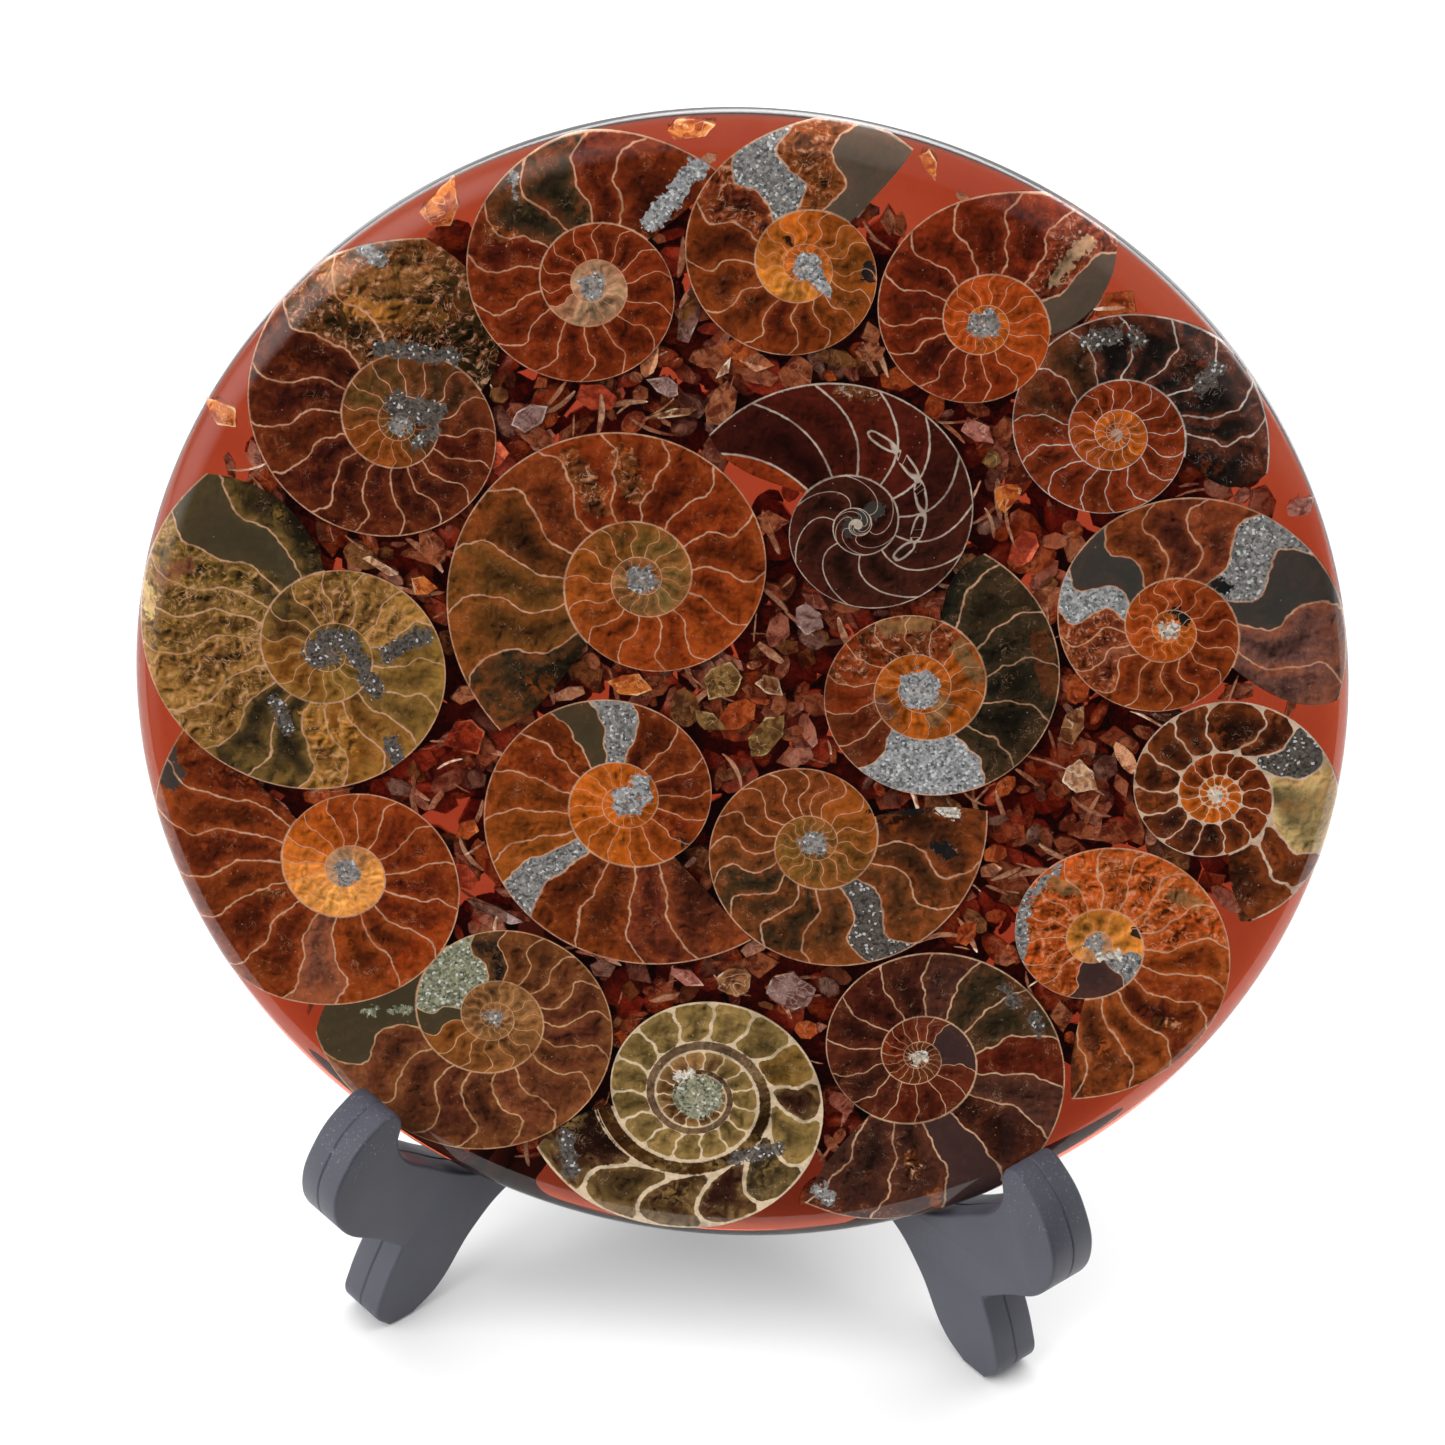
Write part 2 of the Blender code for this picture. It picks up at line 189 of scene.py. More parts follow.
# How each slice looks, in degrees back from its mouth and millimetres on the disc's face.
# septa: where each wall between two chambers leaves the outer wall. spacing: from the last
# of them inwards. curve: how much nearer the mouth a septum ends than it starts, how far
# it bows inwards, and how far it sways. ground: fills along the shell. chambers: single
# chambers that differ, counted from the mouth. core: radius and fill of the middle.
# patches: two ends, radius and fill of a spot or streak. line, glow: colours on a screen
# of the walls and of the clear spar beside them.
# crescent: where a septum of this form starts, how it falls and how it rises.
# turn_over, inner_curve: from where another curve holds, and that curve. band: fills
# at the inner wall. line_width, fillet: the septa's half width, and how much they widen
# at the walls. wander: how far they stray. veins: how strong the pale veins are.
LOOKS = {}
LOOKS["ammonite_01"] = {
    "spacing": 25, "curve": (3, 8, 1.5), "core": (1.7, "grey_druse"), "glow": (160, 66, 22),
    "septa": (26, 48, 73, 97, 121, 145, 169, 193, 218, 243, 268, 295, 323, 347),
    "ground": (
        (0, "maroon"), (120, "maroon"), (200, "russet"), (520, "russet"), (545, "cream_tan"),
        (760, "cream_tan")),
    "chambers": {2: "olive_dark", 3: "olive_dark"},
    "patches": (
        (-14.8, 61.2, -9.9, 68.6, 1.3, "light_druse"),
        (-31.8, 66.5, -31.2, 63.0, 0.35, "grey_druse"),
        (-34.0, 58.6, -31.6, 58.0, 0.9, "gold_druse")),
}
LOOKS["ammonite_02"] = {
    "spacing": 23, "curve": (-4, 1, 3.5), "core": (1.2, "light_druse"),
    "septa": (20, 45, 72, 99, 128, 157, 186, 213, 237, 260, 283, 303, 330, 352),
    "ground": (
        (0, "maroon"), (170, "maroon"), (215, "russet"), (280, "amber"), (340, "amber"),
        (400, "orange"), (560, "gold"), (700, "orange")),
    "chambers": {0: "slate", 1: "gold_druse", 2: "grey_druse", 3: "brown_fleck"},
    "patches": (
        (3.9, 57.6, 4.4, 56.9, 1.5, "light_druse"), (5.2, 55.8, 6.4, 54.8, 0.9, "light_druse"),
        (11.3, 58.2, 11.5, 56.9, 0.75, "pit_shade"), (1.7, 60.6, 1.9, 60.4, 0.4, "dark_brown")),
}
LOOKS["ammonite_03"] = {
    "glow": (164, 58, 20), "spacing": 24, "curve": (3, 5, 2), "core": (1.9, "grey_druse"),
    "septa": (-6, 18, 42, 69, 94, 119, 144, 165, 193, 215, 237),
    "ground": (
        (0, "maroon"), (200, "maroon"), (250, "red_orange"), (300, "vivid_orange"),
        (560, "vivid_orange"), (620, "orange"), (760, "orange")),
    "chambers": {0: "slate", 1: "brown_fleck"},
    "patches": (
        (33.4, 58.4, 34.6, 60.6, 0.8, "cream_tan"), (35.2, 61.6, 36.6, 63.2, 0.9, "cream_tan")),
}
LOOKS["ammonite_04"] = {
    "spacing": 24, "curve": (4, -8, 0), "core": (0.9, "orange"), "line": (206, 190, 178),
    "glow": (150, 66, 30),
    "septa": (21, 35, 59, 82, 105, 129, 158, 188, 214, 240, 265, 285, 310, 336),
    "ground": (
        (0, "dark_maroon"), (100, "black"), (135, "olive_dark"), (165, "dark_brown"),
        (195, "russet"), (300, "russet"), (500, "red_orange"), (700, "orange")),
    "chambers": {0: "black", 1: "black", 2: "black", 3: "black", 4: "black", 5: "black"},
    "patches": (
        (38.5, 51.0, 41.0, 52.0, 1.2, "dark_druse"), (43.0, 52.8, 44.0, 51.4, 0.9, "dark_druse"),
        (52.0, 46.6, 53.6, 49.0, 1.1, "dark_druse"), (31.0, 46.0, 34.0, 42.0, 1.6, "brown")),
}
LOOKS["ammonite_05"] = {
    "glow": (146, 66, 28), "spacing": 24, "curve": (10, 3, 2), "core": (1.3, "grey_druse"),
    "septa": (28, 52, 76, 98, 120, 143, 165, 186, 207, 227, 250, 273, 296, 320, 343),
    "ground": (
        (0, "veined_olive"), (40, "veined_olive"), (60, "dark_maroon"), (90, "dark_maroon"),
        (230, "dark_maroon"), (270, "maroon"), (310, "olive_dark"), (440, "olive"),
        (470, "amber"), (545, "amber"), (580, "olive_dark"), (720, "olive")),
    "chambers": {},
    "patches": (
        (-52.0, 50.5, -40.5, 51.5, 2.0, "veined_gold"),
        (-49.5, 47.6, -40.0, 47.2, 1.5, "gold_crystal"),
        (-49.2, 54.6, -46.8, 53.6, 0.9, "grey_druse"),
        (-46.5, 42.5, -37.5, 42.2, 1.0, "dark_druse"),
        (-43.8, 35.6, -39.6, 35.0, 1.7, "dark_druse"),
        (-41.5, 31.0, -39.5, 32.5, 0.9, "dark_druse")),
}
LOOKS["ammonite_06"] = {
    "spacing": 26, "curve": (8, 5, 2), "core": (1.8, "grey_druse"),
    "septa": (15, 37, 58, 79, 101, 124, 146, 169, 195, 223, 252, 281, 305, 332, 357),
    "ground": (
        (0, "olive"), (50, "olive"), (75, "brown"), (110, "russet"), (160, "russet"),
        (250, "red_orange"), (330, "red_orange"), (420, "amber"), (500, "olive_gold"),
        (640, "khaki"), (800, "tan")),
    "chambers": {0: "olive_dark"},
    "patches": (
        (-22.5, 30.5, -19.0, 25.0, 1.6, "gold_druse"),
        (-16.5, 31.5, -14.5, 27.0, 1.6, "gold_druse"), (-13.0, 13.0, -12.0, 12.4, 1.0, "tan")),
}
LOOKS["ammonite_07"] = {
    "spacing": 24, "curve": (9, 4, 2), "core": (1.4, "dark_druse"), "glow": (176, 132, 58),
    "septa": (-5, 14, 29, 42, 56, 79, 97, 115, 134, 151, 169, 188, 208, 232, 256, 280, 305, 330),
    "ground": (
        (0, "olive_dark"), (25, "veined_olive"), (60, "veined_gold"), (130, "veined_gold"),
        (160, "amber"), (190, "olive"), (240, "olive"), (260, "veined_gold"),
        (340, "veined_gold"), (380, "olive_dark"), (430, "amber"), (540, "olive_gold"),
        (700, "olive_dark")),
    "chambers": {0: "olive_dark", 1: "olive_flat", 7: "olive_dark", 8: "olive_dark"},
    "patches": (
        (-52.0, 2.2, -50.6, 4.0, 1.8, "dark_druse"), (-48.6, 4.8, -46.8, 1.6, 1.1, "dark_druse"),
        (-43.6, 3.0, -39.4, 6.0, 1.2, "dark_druse"),
        (-45.8, -0.2, -44.6, -1.8, 1.2, "dark_druse"),
        (-57.0, -4.4, -55.4, -8.0, 0.9, "dark_druse"),
        (-42.4, -8.8, -41.2, -11.6, 1.0, "dark_druse"),
        (-52.4, -6.4, -50.6, -8.4, 1.5, "gold_crystal"),
        (-48.4, -6.6, -47.8, -9.2, 1.2, "gold_crystal"),
        (-71.5, 10.5, -68.6, 12.6, 1.1, "pale_pink"), (-73.6, 8.6, -73.0, 6.0, 0.9, "calcite"),
        (-58.5, 11.0, -57.0, 8.0, 1.6, "olive_dark")),
}
LOOKS["ammonite_08"] = {
    "spacing": 26, "curve": (-1, 0.5, 4), "core": (1.2, "white_druse"),
    "septa": (
        5, 30, 53, 78, 99, 121, 143, 170, 191, 208, 228, 245, 266, 290, 312, 337, 361, 388, 412,
        435, 460, 485),
    "ground": (
        (0, "purple_brown"), (150, "purple_brown"), (200, "brown"), (250, "russet"),
        (380, "russet"), (450, "red_orange"), (620, "vivid_orange"), (760, "orange")),
    "chambers": {
        0: "mauve", 1: "mauve", 2: "charcoal", 3: "grey_druse", 7: "charcoal", 8: "light_druse",
        9: "brown_fleck", 10: "brown_fleck", 11: "brown_fleck"},
    "patches": (
        (52.2, 17.6, 53.4, 16.8, 0.8, "pit_shade"), (44.0, 11.0, 46.0, 12.0, 0.8, "pale_pink"),
        (56.4, 21.8, 57.6, 21.2, 0.8, "pit_shade")),
}
LOOKS["ammonite_09"] = {
    "glow": (84, 56, 30), "spacing": 26, "curve": (2, -6, 0), "core": (2.6, "light_druse"),
    "septa": (7, 31, 56, 81, 108, 124, 192, 209, 232, 256, 280, 305, 330, 355),
    "ground": (
        (0, "olive_black"), (190, "olive_black"), (193, "maroon"), (250, "red_orange"),
        (275, "veined_orange"), (370, "veined_orange"), (400, "orange"), (620, "orange")),
    "chambers": {0: "olive_black", 6: "light_druse"},
    "patches": (
        (36.0, 12.5, 38.0, 6.0, 1.2, "brown"), (17.5, 2.5, 18.8, 1.0, 0.9, "pale_pink"),
        (17.0, 12.2, 22.0, 13.4, 1.0, "tan"), (26.5, 10.5, 28.6, 7.0, 1.1, "tan"),
        (25.4, 3.0, 24.0, 0.4, 1.0, "tan")),
}
LOOKS["ammonite_10"] = {
    "spacing": 30, "curve": (-3, -10, 0), "core": (1.0, "white_druse"), "line": (214, 186, 160),
    "turn_over": 150, "inner_curve": (0, 5, 0), "fillet": 0.9, "line_width": 0.15,
    "septa": (24, 45, 95, 121, 142, 167, 192, 219, 246, 269, 296, 322, 349),
    "ground": (
        (0, "dark_brown"), (320, "dark_brown"), (420, "maroon"), (560, "russet"), (640, "orange")),
    "chambers": {2: "calcite", 3: "dark_druse"},
    "patches": (),
}
LOOKS["ammonite_11"] = {
    "spacing": 22, "curve": (7, 3, 1.5), "core": (1.7, "grey_druse"),
    "septa": (10, 26, 44, 63, 85, 108, 128, 155, 178, 204, 230, 255, 281, 304, 326),
    "ground": (
        (0, "maroon"), (60, "maroon"), (280, "russet"), (310, "red_orange"), (370, "orange"),
        (450, "bright_gold"), (600, "bright_gold"), (680, "cream_tan")),
    "chambers": {6: "pale_pink"},
    "patches": (
        (-71.5, -10.5, -69.5, -16.0, 1.6, "charcoal"),
        (-57.5, -31.0, -55.5, -30.4, 0.8, "gold_druse"),
        (-40.0, -40.0, -35.0, -34.0, 1.4, "red_orange")),
}
LOOKS["ammonite_12"] = {
    "spacing": 23, "curve": (3.5, 5, 0.5), "core": (1.6, "light_druse"),
    "septa": (17, 35, 58, 77, 94, 103, 122, 144, 166, 184, 203, 226, 254, 278, 300, 322, 345),
    "ground": (
        (0, "purple_brown"), (70, "maroon"), (100, "amber"), (150, "russet"), (180, "maroon"),
        (300, "maroon"), (340, "red_orange"), (400, "orange"), (700, "orange")),
    "chambers": {4: "grey_druse", 10: "olive_flat", 11: "grey_druse"},
    "patches": (
        (-13.0, -13.6, -12.6, -14.0, 1.8, "light_druse"),
        (-11.4, -11.0, -10.8, -12.6, 1.2, "light_druse"), (-6.2, -18.0, -4.6, -19.0, 0.45, "pit_shade")),
}
LOOKS["ammonite_13"] = {
    "spacing": 24, "curve": (3.5, 3, 3.5), "core": (1.7, "grey_druse"),
    "septa": (18, 36, 58, 78, 103, 125, 147, 168, 188, 209, 231, 252, 270, 286, 303),
    "ground": (
        (0, "brown"), (60, "olive_dark"), (140, "olive_dark"), (175, "olive_dark"),
        (200, "brown"), (290, "brown"), (310, "amber"), (420, "olive_gold"), (700, "olive_gold")),
    "chambers": {0: "brown", 3: "dark_druse"},
    "patches": (
        (17.2, -12.4, 24.0, -11.2, 0.5, "pit_shade"), (19.0, -12.0, 23.0, -11.6, 0.22, "light_druse"),
        (26.0, -11.0, 27.6, -11.6, 1.0, "white_druse"), (25.6, -16.0, 27.6, -17.0, 1.0, "pit_shade")),
}
LOOKS["ammonite_14"] = {
    "spacing": 40, "curve": (5, 4, 2), "core": (1.3, "grey_druse"), "glow": (206, 104, 38),
    "septa": (
        0, 19, 36, 57, 74, 94, 115, 137, 160, 183, 205, 228, 250, 272, 295, 318, 342, 398, 438),
    "ground": (
        (0, "dark_brown"), (50, "maroon"), (80, "russet"), (110, "bright_orange"),
        (340, "bright_orange"), (400, "gold"), (640, "gold"), (760, "cream_tan")),
    "chambers": {17: "grey_purple", 18: "grey_druse"},
    "patches": (
        (37.6, -31.5, 37.2, -23.5, 0.9, "grey_druse"),
        (37.6, -22.5, 41.0, -18.2, 0.5, "grey_druse"), (51.8, -25.6, 52.4, -25.8, 0.5, "pit_shade"),
        (40.6, -19.6, 43.4, -20.6, 0.9, "tan"), (56.0, -20.0, 58.6, -21.0, 0.9, "tan"),
        (56.0, -37.6, 57.6, -38.0, 0.9, "gold_druse"),
        (47.5, -29.4, 50.0, -28.8, 0.5, "white_druse")),
}
LOOKS["ammonite_15"] = {
    "spacing": 26, "curve": (3.5, 3, 3), "core": (1.1, "grey_druse"), "line": (204, 158, 116),
    "glow": (150, 92, 44),
    "septa": (
        7, 28, 50, 67, 88, 108, 131, 152, 172, 191, 212, 232, 253, 274, 345, 366, 389, 411, 434,
        459, 484, 509, 533, 557, 581, 607, 633),
    "ground": (
        (0, "purple_brown"), (150, "purple_brown"), (240, "brown"), (345, "brown"),
        (360, "amber"), (540, "tan"), (700, "tan")),
    "chambers": {0: "olive_flat", 13: "black", 14: "green_druse", 15: "olive_flat"},
    "patches": (
        (-43.6, -46.2, -42.8, -45.8, 0.6, "green_druse"),
        (-40.4, -45.6, -38.6, -45.2, 0.6, "green_druse")),
}
LOOKS["ammonite_16"] = {
    "spacing": 24, "curve": (0, 0, 0), "crescent": (7, -45, 69), "turn_over": 160,
    "inner_curve": (-3, -4, 0), "core": (3.2, "green_druse"), "line": (222, 198, 166),
    "glow": (172, 138, 80), "wander": 0.4, "line_width": 0.24, "fillet": 0.9,
    "septa": (19, 43, 69, 94, 120, 146, 170, 194, 218, 241, 265, 290, 313, 338),
    "ground": (
        (0, "dark_brown"), (160, "dark_brown"), (180, "olive_gold"), (210, "khaki"),
        (560, "khaki"), (600, "tan"), (800, "brown")),
    "band": (
        (0, "olive"), (150, "olive"), (175, "cream_tan"), (560, "cream_tan"), (600, "tan"),
        (700, "tan")),
    "chambers": {
        0: "dark_brown", 3: "dark_brown", 4: "olive_dark", 5: "khaki", 6: "dark_brown", 7:
        "olive_gold"},
    "patches": (
        (4.6, -62.0, 9.6, -60.0, 1.0, "dark_druse"),
        (-17.5, -61.5, -16.5, -66.0, 1.2, "dark_druse"),
        (-3.6, -51.4, -2.4, -51.0, 0.8, "white_druse"),
        (15.0, -50.0, 15.4, -54.0, 0.5, "light_druse")),
}
LOOKS["ammonite_17"] = {
    "spacing": 20, "curve": (3.5, 6, 0), "core": (1.1, "white_druse"), "line": (208, 168, 132),
    "glow": (112, 50, 26),
    "septa": (
        0, 20, 42, 66, 90, 112, 134, 160, 185, 208, 235, 263, 292, 317, 342, 367, 392, 419, 444,
        470, 535),
    "ground": (
        (0, "grey_brown"), (180, "grey_brown"), (240, "dark_maroon"), (340, "dark_brown"),
        (380, "maroon"), (540, "purple_brown"), (640, "russet"), (760, "brown")),
    "chambers": {
        3: "grey_purple", 4: "dark_brown", 6: "maroon", 7: "olive_dark", 8: "olive_dark", 20:
        "grey_purple"},
    "patches": (
        (26.4, -59.4, 27.2, -62.0, 0.8, "gold_druse"),
        (15.2, -65.6, 16.6, -66.6, 1.0, "grey_druse"),
        (36.0, -34.6, 37.6, -37.0, 0.8, "dark_druse"),
        (40.0, -38.0, 41.0, -40.6, 0.7, "dark_druse"), (30.0, -64.6, 30.6, -67.0, 0.7, "amber")),
}
LOOKS["nautilus"] = {
    "spacing": 60, "curve": (0, 0, 0), "core": (0.9, "maroon"), "line": (198, 180, 162),
    "glow": (76, 24, 15), "line_width": 0.10, "wander": 0.15, "veins": 0.0,
    "septa": (-9, 18, 41, 66, 87, 110, 135, 163, 198, 243, 293, 345),
    "ground": (
        (0, "dark_maroon"), (60, "maroon"), (90, "dark_maroon"), (150, "dark_brown"),
        (700, "dark_brown")),
    "chambers": {0: "red_orange"},
    "patches": (
        (11.8, 24.6, 14.6, 27.4, 1.1, "charcoal"), (9.6, 42.8, 12.8, 42.4, 1.4, "gold_druse")),
}

# The nautilus's siphuncle, bead by bead: from the mouth inwards.
SIPHUNCLE = ((12.9, 37.2), (16.6, 35.2), (19.4, 31.8), (20.4, 27.6), (19.6, 23.6),
             (17.4, 21.2))

# Loose chips at the face, in millimetres and degrees: middle x, middle y, length, width,
# turn, corners, look.
CHIPS = {
    "chip_amber_top": (-11.4, 72.7, 7.4, 3.0, 8, 6, "orange"),
    "chip_amber_top_right": (17.4, 71.0, 4.4, 2.4, -58, 5, "orange"),
    "chip_orange_upper_left": (-39.8, 60.8, 7.4, 5.6, 60, 6, "orange"),
    "chip_orange_left": (-65.0, 32.4, 5.6, 4.4, -30, 5, "orange"),
    "chip_druzy_top": (-11.7, 40.8, 5.6, 3.4, -25, 6, "grey"),
    "chip_blade_top": (-10.6, 37.4, 7.0, 1.5, 17, 5, "tan"),
    "chip_flake_top": (-4.9, 43.6, 4.0, 1.4, 62, 4, "cream"),
    "chip_grey_upper_left": (-27.6, 35.6, 7.0, 4.6, 40, 6, "grey"),
    "chip_grey_upper_right": (25.4, 38.8, 6.4, 3.4, -25, 5, "pink"),
    "chip_olive_right": (28.0, 34.9, 3.8, 2.6, 60, 5, "olive"),
    "chip_tube_right": (30.3, 30.6, 5.0, 4.0, 55, 8, "orange"),
    "chip_pink_right": (65.6, 32.2, 4.6, 3.2, 25, 5, "pink"),
    "chip_tan_centre": (-2.3, 3.4, 6.6, 6.0, 70, 6, "olive"),
    "chip_orange_centre": (-13.8, 1.6, 7.4, 4.0, 0, 6, "orange"),
    "chip_brown_centre": (3.6, 3.4, 5.2, 2.8, -28, 5, "tan"),
    "chip_grey_centre": (7.4, 12.8, 5.8, 5.0, 80, 6, "grey"),
    "chip_olive_centre": (4.0, -3.4, 8.6, 5.0, 62, 6, "olive"),
    "chip_yellow_centre": (-3.4, -2.2, 5.6, 3.4, -20, 5, "olive"),
    "chip_tan_lower_right": (41.0, 1.4, 7.6, 4.2, 75, 5, "tan"),
    "chip_cream_lower_right": (42.4, -5.6, 6.2, 5.2, -30, 6, "cream"),
    "chip_red_left": (-33.4, -7.2, 6.2, 5.4, 10, 6, "red"),
    "chip_amber_left": (-39.6, 12.4, 4.2, 3.4, 10, 5, "orange"),
    "chip_flake_left": (-45.0, 14.6, 8.2, 1.6, -30, 5, "cream"),
    "chip_round_bottom": (9.2, -37.9, 7.4, 7.0, 0, 9, "grey"),
    "chip_porous_bottom": (2.2, -37.4, 5.2, 4.6, 20, 7, "tan"),
    "chip_pink_bottom": (-3.6, -37.3, 5.0, 3.2, -20, 5, "pink"),
}

# Their colours on a screen: light part, dark part, thin bright edges, strength of these.
CHIP_LOOKS = {
    "orange": ((200, 112, 48), (142, 52, 18), (232, 188, 136), 0.5),
    "tan": ((150, 102, 64), (88, 44, 24), (222, 190, 156), 0.6),
    "cream": ((214, 170, 130), (140, 88, 60), (244, 228, 206), 0.5),
    "grey": ((144, 112, 104), (92, 52, 46), (204, 180, 168), 0.4),
    "olive": ((134, 98, 54), (80, 50, 24), (206, 174, 124), 0.5),
    "pink": ((168, 104, 90), (108, 48, 38), (222, 176, 154), 0.5),
    "red": ((136, 42, 18), (84, 20, 10), (190, 100, 66), 0.3),
}

# Single pieces of shell just under the face: middle x, middle y, length, width, turn, look.
PLACED_CHIPS = (
    (41.0, 55.4, 5.6, 4.2, 40, "orange"),
    (-8.6, 69.6, 2.2, 1.4, 20, "cream"),
    (21.6, 67.4, 2.4, 1.2, -40, "cream"),
    (-60.4, 36.8, 3.2, 2.0, 60, "pink"),
    (12.3, 47.2, 4.0, 2.6, 10, "tan"),
    (-31.7, 37.9, 2.4, 2.2, 0, "olive"),
    (3.4, 7.5, 4.6, 1.2, -35, "cream"),
    (8.1, -5.8, 3.6, 2.4, 30, "pink"),
    (41.3, 6.4, 4.4, 3.0, 80, "orange"),
    (33.6, -7.5, 3.4, 2.2, 60, "orange"),
    (33.2, -16.7, 3.4, 2.4, 20, "orange"),
    (-6.3, -40.5, 4.2, 1.0, 20, "cream"),
    (-14.4, -37.2, 3.4, 2.6, 0, "grey"),
    (11.8, -43.2, 3.0, 2.6, 0, "orange"),
    (30.7, -27.8, 3.8, 2.4, 70, "orange"),
    (-33.6, -1.5, 4.0, 2.6, 30, "tan"),
    (-41.1, -14.8, 3.4, 2.4, 0, "grey"),
    (-32.4, -19.7, 3.6, 2.4, 50, "orange"),
    (-20.8, -0.2, 4.2, 1.8, 20, "cream"),
    (-28.3, -30.7, 8.0, 1.6, -18, "grey"),
    (65.5, -21.7, 3.4, 2.4, 40, "olive"),
    (-63.0, -15.5, 4.6, 3.4, 70, "grey"),
    (-33.0, 30.0, 6.0, 4.2, 20, "red"),
    (-20.0, 38.6, 5.4, 3.6, -15, "red"),
    (-2.0, 36.0, 4.8, 1.2, 40, "cream"),
    (33.0, 24.0, 5.0, 3.4, 70, "red"),
    (36.5, 18.0, 4.4, 3.0, 20, "tan"),
    (33.5, -2.0, 4.2, 2.8, -30, "tan"),
    (28.6, -20.0, 4.0, 2.6, 10, "tan"),
    (-36.5, -16.0, 3.8, 1.0, 60, "cream"),
    (-33.0, -26.0, 5.0, 3.4, -30, "red"),
    (0.0, -1.0, 5.4, 3.6, 45, "orange"),
    (-9.6, 50.0, 8.0, 2.6, 82, "grey"),
    (-8.6, 5.4, 4.6, 3.0, 0, "tan"),
)

# Broken shell at depth: look, seed, how many, sizes, depths, how far out, how far it
# keeps from the slices, share of the width, how strongly the pieces curl.
DEEP_CHIPS = (
    ("cream", 1, 150, (1.6, 6.5), (0.03, 0.25), 69, 0.2, (0.05, 0.16), 0.09),
    ("tan", 2, 170, (1.8, 6.5), (0.03, 0.9), 68, 0.3, (0.3, 0.8), 0.03),
    ("orange", 3, 130, (1.8, 6.5), (0.05, 1.8), 69, 0.3, (0.4, 0.9), 0.0),
    ("pink", 4, 70, (1.6, 5.5), (0.03, 0.8), 69, 0.3, (0.25, 0.7), 0.04),
    ("olive", 5, 60, (1.8, 5.5), (0.05, 1.4), 60, 0.3, (0.35, 0.9), 0.02),
    ("red", 6, 240, (2.5, 8.0), (0.6, 4.0), 67, 0.3, (0.4, 0.9), 0.0),
    # the dark pieces lie as a dense bed low in the resin under the gaps: broken shell, and also a
    # stand-in for the shade between the slices
    ("dark", 7, 420, (5.0, 10.0), (3.2, 5.6), 62, -2.0, (0.5, 0.9), 0.0),
    ("grey", 8, 50, (1.8, 5.0), (0.05, 1.0), 66, 0.3, (0.4, 0.8), 0.0),
)

# Colours of the chips that the resin darkens.
DEEP_LOOKS = {
    "orange": ((230, 132, 68), (158, 68, 32), (244, 204, 156), 0.5),
    "tan": ((222, 158, 116), (138, 74, 52), (240, 210, 178), 0.6),
    "cream": ((246, 214, 186), (190, 130, 100), (252, 240, 224), 0.5),
    "olive": ((178, 134, 84), (106, 68, 40), (226, 198, 150), 0.5),
    "pink": ((218, 160, 142), (148, 82, 68), (240, 208, 192), 0.5),
    "grey": ((172, 144, 138), (108, 70, 64), (226, 208, 198), 0.5),
    "red": ((232, 112, 76), (176, 70, 46), (236, 160, 126), 0.3),
    "dark": ((240, 140, 106), (190, 96, 70), (240, 146, 112), 0.0),
}

# Where the resin is clear: middle x, middle y, radius.
CLEAR_SPOTS = ((0.5, 32.0, 4.6), (14.5, 68.0, 4.2), (-50.0, 61.0, 5.0), (68.0, -24.0, 6.0),
               (57.0, 42.0, 5.0), (35.0, 66.0, 3.5))

# The plate's outline, in millimetres: along the plate from the middle of the groove
# towards the back, then height. It is smooth but for the points that are counted below.
PLATE_OUTLINE = (
    (-10.7, 0.0), (-12.8, 2.6), (-12.2, 5.6), (-8.8, 12.8), (-13.2, 16.4), (-18.2, 20.2),
    (-20.2, 25.2), (-18.4, 31.0), (-14.0, 35.3), (-10.8, 36.2), (-9.6, 34.6), (-10.0, 31.0),
    (-8.8, 27.8), (-4.4, 24.0), (0.4, 20.4), (4.4, 18.4), (7.2, 18.0), (9.4, 19.4),
    (23.6, 60.0), (27.2, 62.6), (30.8, 59.6), (37.0, 44.0), (48.0, 36.0), (66.0, 34.0),
    (84.0, 25.0), (92.0, 8.0), (90.4, 0.0), (81.6, 0.0), (77.0, 9.4), (64.0, 16.2),
    (46.0, 18.0), (26.0, 17.4), (8.2, 13.4), (3.0, 9.4), (-3.0, 2.1), (-6.8, 0.0),
)
SHARP_POINTS = (0, 3, 16, 17, 18, 26, 27, 35)


# Small tools for modelling
def deselect():
    for obj in bpy.context.selected_objects:
        obj.select_set(False)


def make_active(obj):
    deselect()
    obj.select_set(True)
    bpy.context.view_layer.objects.active = obj


def named(name):
    """The object that was just added, under its own name."""
    obj = bpy.context.object
    obj.name = name
    obj.data.name = name
    return obj


def edit_mode(select="VERT"):
    bpy.ops.object.mode_set(mode="EDIT")
    bpy.ops.mesh.select_mode(type=select)


def object_mode():
    bpy.ops.object.mode_set(mode="OBJECT")


def edit_all(operator, select="VERT", **options):
    """Runs one operator on the whole mesh."""
    edit_mode(select)
    bpy.ops.mesh.select_all(action="SELECT")
    operator(**options)
    object_mode()


def face_outwards():
    edit_all(bpy.ops.mesh.normals_make_consistent, inside=False)


def read(items, field, width=1, kind=np.int32):
    """One field of a mesh's parts as an array."""
    values = np.empty(len(items) * width, kind)
    items.foreach_get(field, values)
    return values if width == 1 else values.reshape(-1, width)


def places(mesh):
    """The mesh's vertices as an array."""
    return read(mesh.vertices, "co", 3, np.float32).astype(float)


def set_places(mesh, array):
    mesh.vertices.foreach_set("co", array.astype(np.float32).ravel())
    mesh.update()


def write_marks(mesh, label, kind, field, values, domain="CORNER"):
    attribute = mesh.attributes.new(label, kind, domain)
    attribute.data.foreach_set(field, values.astype(np.float32).ravel())


